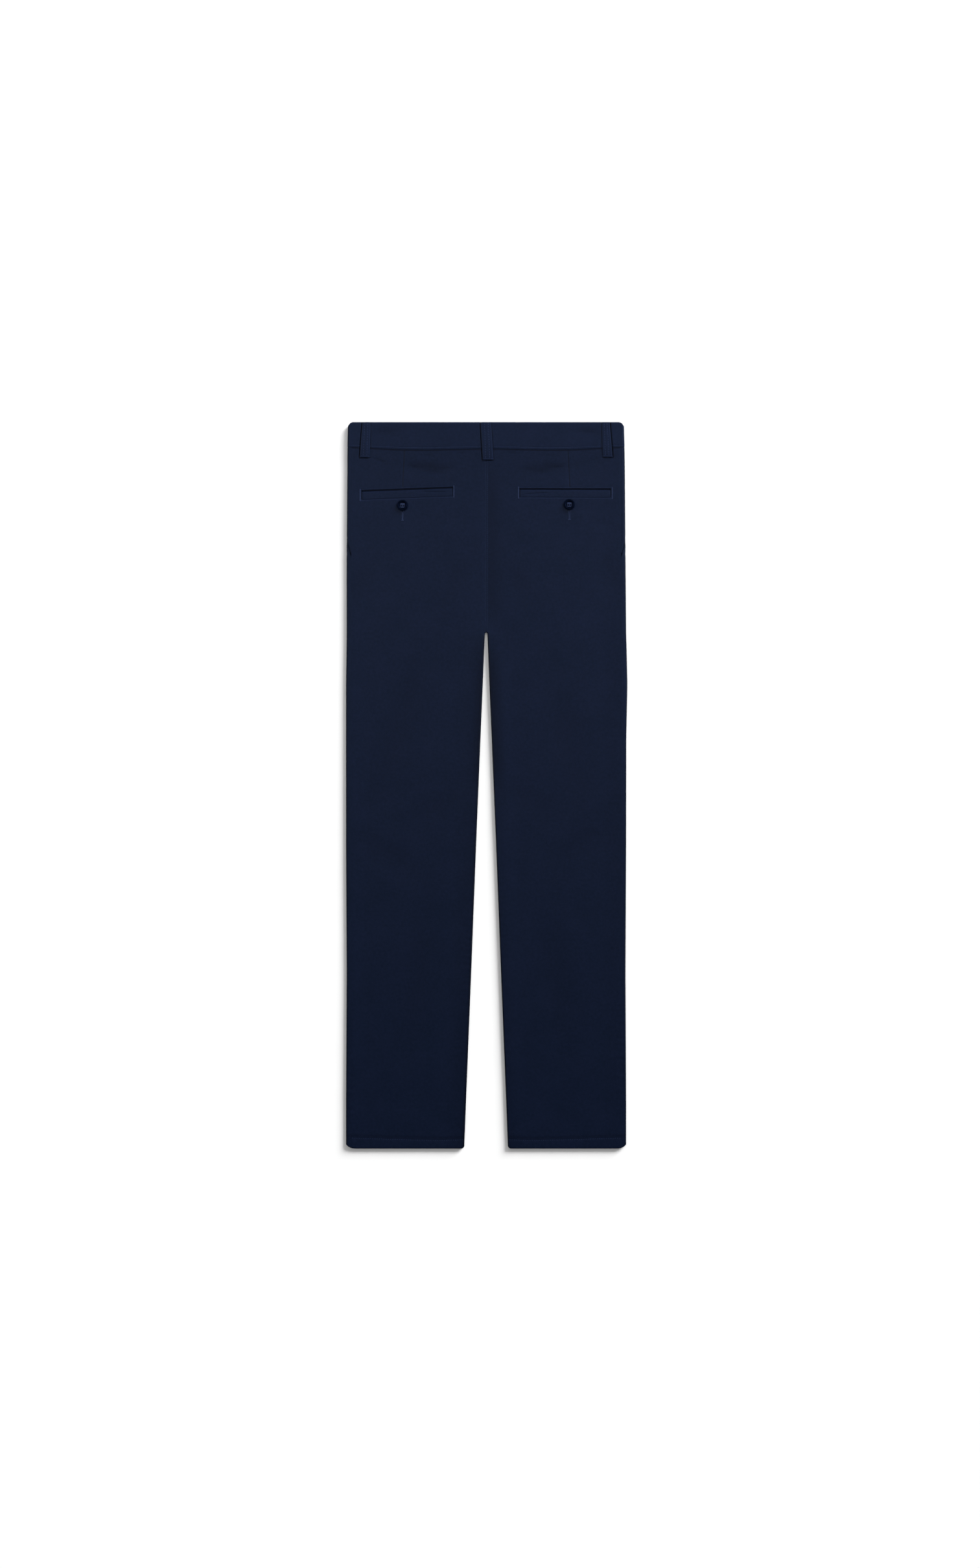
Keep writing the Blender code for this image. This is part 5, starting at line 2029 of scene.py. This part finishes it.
@dataclass
class Sewing:
    """All the stitching that shows, sewn on the surfaces of the cloth pieces."""

    work: ThreadWork

    def waistband(self, side: Side) -> None:
        """The rows along the band's free edge and just above its seam.

        Args:
            side: the wearer's side.
        """
        band = Waistband(side)
        end = 2.0 * float(FORM.side_edge(side, np.array(band.middle))) + 3.6
        end = end + (band.tab_reach - 3.0 if side is Side.LEFT else -band.tab_reach - 3.0)
        for share in band.stitch_shares:
            self.work.row(band.surface, (1.0, end), (share, share), TOPSTITCH, -side.value, sink=0.04)
        self.work.collect(f"stitches_waistband_{side.label}")

    def belt_loop(self, place_of: LoopPlace, on_back: bool) -> None:
        """A loop's two columns and the bar that holds its lower end.

        Args:
            place_of: the loop's place.
            on_back: whether it lies on the back.
        """
        loop = BeltLoop(place_of, on_back)
        outward, sink = (-1.0, 0.02) if on_back else (1.0, 0.16)
        for top, end in zip(place_of.columns_top, place_of.columns_end):
            path = (top + 0.97 * (end - top), top)
            self.work.row(loop.surface, (0.955, 0.012), path, LOOP_STITCH, -outward, sink=sink)
        share = 1.0 - 2.4 / (place_of.end - place_of.top)
        self.work.row(loop.surface, (share, share), (-0.8, 0.8), LOOP_TACK, -outward, sink=sink)
        self.work.collect(f"stitches_{place_of.name}")

    def pocket(self, side: Side) -> None:
        """The box of stitches round a pocket, with a bar tack at each end.

        Args:
            side: the wearer's side.
        """
        pocket, panel = POCKETS[side], BackPanel(side)
        inner, outer, way = pocket.inner_run - 1.4, pocket.outer_run + 2.2, -side.value
        above, below = -1.3, pocket.depth + 1.7
        for row in (above, below):
            drops = [pocket.inner_drop + pocket.shift(np.array(run)) + row for run in (inner, outer)]
            self.work.row(panel.surface, (inner, outer), drops, BOX_STITCH, way, sink=0.03)
        self.work.collect(f"stitches_pocket_{side.label}")
        for run in (inner, outer):
            top = pocket.inner_drop + float(pocket.shift(np.array(run)))
            self.work.row(
                panel.surface, (run, run), (top + above - 0.8, top + below + 0.6), SATIN, way,
                crosswise=True, sink=-0.02,
            )
        self.work.collect(f"bar_tacks_pocket_{side.label}", bright=True)

    def buttonhole(self, side: Side, spot: ButtonPlace) -> None:
        """A worked buttonhole below the button: two closing lips and a bar tack.

        Args:
            side: the wearer's side.
            spot: the button's place.
        """
        panel, run, way = BackPanel(side), abs(spot.x), -side.value
        top, end = spot.drop - 3.0, spot.drop + 22.0
        for side_way in (-1.0, 1.0):
            runs = [run + side_way * off for off in (2.0, 1.9, 1.5, 0.75, 0.62, 0.6)]
            drops = np.linspace(top, end, len(runs))
            self.work.row(panel.surface, runs, drops, BUTTONHOLE_LIP, way, crosswise=True, sink=-0.05)
        self.work.row(
            panel.surface, (run - 1.9, run + 1.9), (end + 0.3, end + 0.3), BUTTONHOLE_BAR, way,
            crosswise=True, sink=-0.1,
        )
        self.work.collect(f"buttonhole_{side.label}", bright=True)

    def button_thread(self, spot: ButtonPlace) -> None:
        """The thread that crosses between a button's holes.

        Args:
            spot: the button's place.
        """
        made = Button(spot)
        top = made.seat() + (spot.thick - made.dish + 0.3 if spot.face_up else made.dish - 0.2)
        way = -1.0 if spot.face_up else 1.0

        def disc(x: Array, drop: Array) -> Array:
            """The button's dished face."""
            return place(Side.RIGHT, spot.x + x, spot.drop + drop, np.full_like(x, top))

        for first, last, middle, length in STRANDS:
            strand = StitchSize(length=length, width=0.6, height=0.7, pitch=0.46)
            self.work.row(disc, (first, last), (middle, middle), strand, way, crosswise=True)
        self.work.collect(f"thread_{spot.name}", bright=True)

    def centre_back(self) -> None:
        """The row just right of the centre back seam, from the centre loop to the crotch."""
        panel = BackPanel(Side.RIGHT)
        self.work.row(panel.surface, (1.9, 1.7, 1.7), (42.0, 250.0, 306.0), CENTRE_STITCH, -1.0, sink=0.03)
        self.work.collect("stitches_centre_back")

    def hem(self, side: Side) -> None:
        """The row that holds a hem's turning, right round the leg.

        Args:
            side: the wearer's side.
        """
        back, front = BackPanel(side), FrontPanel(side)
        runs = np.linspace(33.5, 199.6, 12)
        self.work.row(back.surface, runs, hem_stitch_drop(runs), HEM_STITCH, -side.value, sink=0.03)
        runs = np.linspace(33.5, 206.0, 12)
        self.work.row(front.surface, runs, hem_stitch_drop(runs), HEM_STITCH, side.value, sink=0.03)
        self.work.collect(f"stitches_hem_{side.label}")

    def front(self, side: Side) -> None:
        """The slanted pocket's two rows and, on the left, the curved row that holds the fly.

        Args:
            side: the wearer's side.
        """
        panel = FrontPanel(side)
        rows = np.linspace(panel.top_row + 2.0, panel.mouth_end - 6.0, 20)
        for off in (1.8, 7.5):
            drops = rows.copy()
            ends = FORM.side_end(side, drops, on_front=True)
            runs = ends - panel.mouth_width(drops - 4.0) - off
            self.work.row(panel.surface, runs, drops, TOPSTITCH, side.value, sink=0.03)
        if side is Side.LEFT:
            turn = np.linspace(0.0, 0.5 * math.pi, 12)
            runs = np.concatenate(([31.0, 31.0], 31.0 * np.cos(turn) - 1.0))
            drops = np.concatenate(([56.0, 180.0], 182.0 + 40.0 * np.sin(turn)))
            self.work.row(panel.surface, runs, drops, TOPSTITCH, side.value, sink=0.03)
        self.work.collect(f"stitches_front_{side.label}")

    def build(self) -> None:
        """Sews every row."""
        for side in Side:
            self.waistband(side)
            self.pocket(side)
            self.hem(side)
            self.front(side)
        for loop in BACK_LOOPS:
            self.belt_loop(loop, on_back=True)
        for loop in FRONT_LOOPS:
            self.belt_loop(loop, on_back=False)
        for side, spot in zip(Side, BACK_BUTTONS):
            self.buttonhole(side, spot)
        for spot in (*BACK_BUTTONS, FRONT_BUTTON):
            self.button_thread(spot)
        self.centre_back()


@dataclass
class Studio:
    """A white paper floor, one soft key light from the upper right and a softbox over the waist."""

    camera_x: float = 0.0048
    camera_y: float = 0.0021
    frame_height: float = 2.3232
    cloth_height: float = 0.003
    lens: float = 100.0
    sensor: float = 36.0
    key_elevation: float = 20.0
    key_azimuth: float = 45.0
    key_spread: float = 32.0
    key_power: float = 6.7
    softbox_power: float = 3.6
    softbox_place: tuple[float, float, float] = (0.0, 1.1, 1.1)
    softbox_size: tuple[float, float] = (0.9, 0.5)
    strip_power: float = 210.0
    strip_place: tuple[float, float, float] = (1.1, 0.66, 1.2)
    strip_size: tuple[float, float] = (0.9, 1.4)
    # The softbox and the strips are aimed at this place on the seat
    target: tuple[float, float, float] = (0.0, 0.3, 0.0)
    fill: float = 0.34
    floor_size: float = 60.0
    floor_level: float = -0.0002

    def camera(self) -> None:
        """The camera looks straight down, as far away as the frame's height needs."""
        data = bpy.data.cameras.new("camera")
        data.lens = self.lens
        data.sensor_width = self.sensor
        data.clip_end = 60.0
        camera = bpy.data.objects.new("camera", data)
        distance = self.frame_height * self.lens / self.sensor
        camera.location = (self.camera_x, self.camera_y, distance + self.cloth_height)
        bpy.context.scene.collection.objects.link(camera)
        bpy.context.scene.camera = camera

    def light(self, name: str, kind: str, power: float) -> Piece:
        """Adds a light at the origin.

        Args:
            name: its name.
            kind: the light's type.
            power: its strength.

        Returns:
            The light.
        """
        data = bpy.data.lights.new(name, kind)
        data.energy = power
        lamp = bpy.data.objects.new(name, data)
        bpy.context.scene.collection.objects.link(lamp)
        return lamp

    def box(self, name: str, power: float, size: tuple[float, float]) -> Piece:
        """Adds a rectangular softbox, which the camera doesn't see.

        Args:
            name: its name.
            power: its strength in watts.
            size: its two sides in metres.

        Returns:
            The light.
        """
        lamp = self.light(name, "AREA", power)
        lamp.data.shape = "RECTANGLE"
        lamp.data.size, lamp.data.size_y = size
        lamp.visible_camera = False
        return lamp

    def aim(self, lamp: Piece, place_of: Vector, target: Vector) -> None:
        """Puts a light at a place and points it at a target.

        Args:
            lamp: the light.
            place_of: where it stands.
            target: what it points at.
        """
        lamp.location = place_of
        lamp.rotation_mode = "QUATERNION"
        lamp.rotation_quaternion = (target - place_of).to_track_quat("-Z", "Y")

    def lights(self) -> None:
        """The key, the softbox and the even fill."""
        elevation, azimuth = math.radians(self.key_elevation), math.radians(self.key_azimuth)
        level = math.cos(elevation)
        toward = Vector((level * math.cos(azimuth), level * math.sin(azimuth), math.sin(elevation)))
        key = self.light("key", "SUN", self.key_power)
        key.data.angle = math.radians(self.key_spread)
        self.aim(key, toward * 5.0, Vector((0.0, 0.0, 0.0)))
        softbox = self.box("softbox", self.softbox_power, self.softbox_size)
        self.aim(softbox, Vector(self.softbox_place), Vector(self.target))
        out, up, high = self.strip_place
        for side in Side:
            # These two only gloss the cloth: they give no diffuse light
            strip = self.box(f"strip_{side.label}", self.strip_power, self.strip_size)
            strip.visible_diffuse = False
            self.aim(strip, Vector((out * side.value, up, high)), Vector(self.target))
        world = bpy.data.worlds.new("studio_fill")
        world.use_nodes = True
        background = world.node_tree.nodes["Background"]
        background.inputs["Color"].default_value = srgb("#ffffff")
        background.inputs["Strength"].default_value = self.fill
        bpy.context.scene.world = world

    def floor(self) -> None:
        """The paper floor, just below the garment."""
        clear_selection()
        bpy.ops.mesh.primitive_plane_add(size=self.floor_size, location=(0.0, 0.0, self.floor_level))
        floor = bpy.context.object
        floor.name = "studio_floor"
        floor.data.materials.append(MattPaper().build())

    def build(self) -> None:
        """Sets the studio up."""
        scene = bpy.context.scene
        scene.view_settings.view_transform = "Standard"
        scene.view_settings.look = "None"
        self.camera()
        self.lights()
        self.floor()


def main() -> None:
    """Builds the pieces in the order in which they are sewn, then the studio."""
    logging.basicConfig(level=logging.INFO, format="%(message)s")
    shop = Workshop()
    for side in Side:
        BackPanel(side).build(shop)
        FrontPanel(side).build(shop)
        PocketFacing(side).build(shop)
        Waistband(side).build(shop)
        Welt(side).build(shop)
    for loop in BACK_LOOPS:
        BeltLoop(loop, on_back=True).build(shop)
    for loop in FRONT_LOOPS:
        BeltLoop(loop, on_back=False).build(shop)
    for spot in (*BACK_BUTTONS, FRONT_BUTTON):
        Button(spot).build(shop)
    Sewing(ThreadWork(shop)).build()
    Studio().build()


if __name__ == "__main__":
    main()
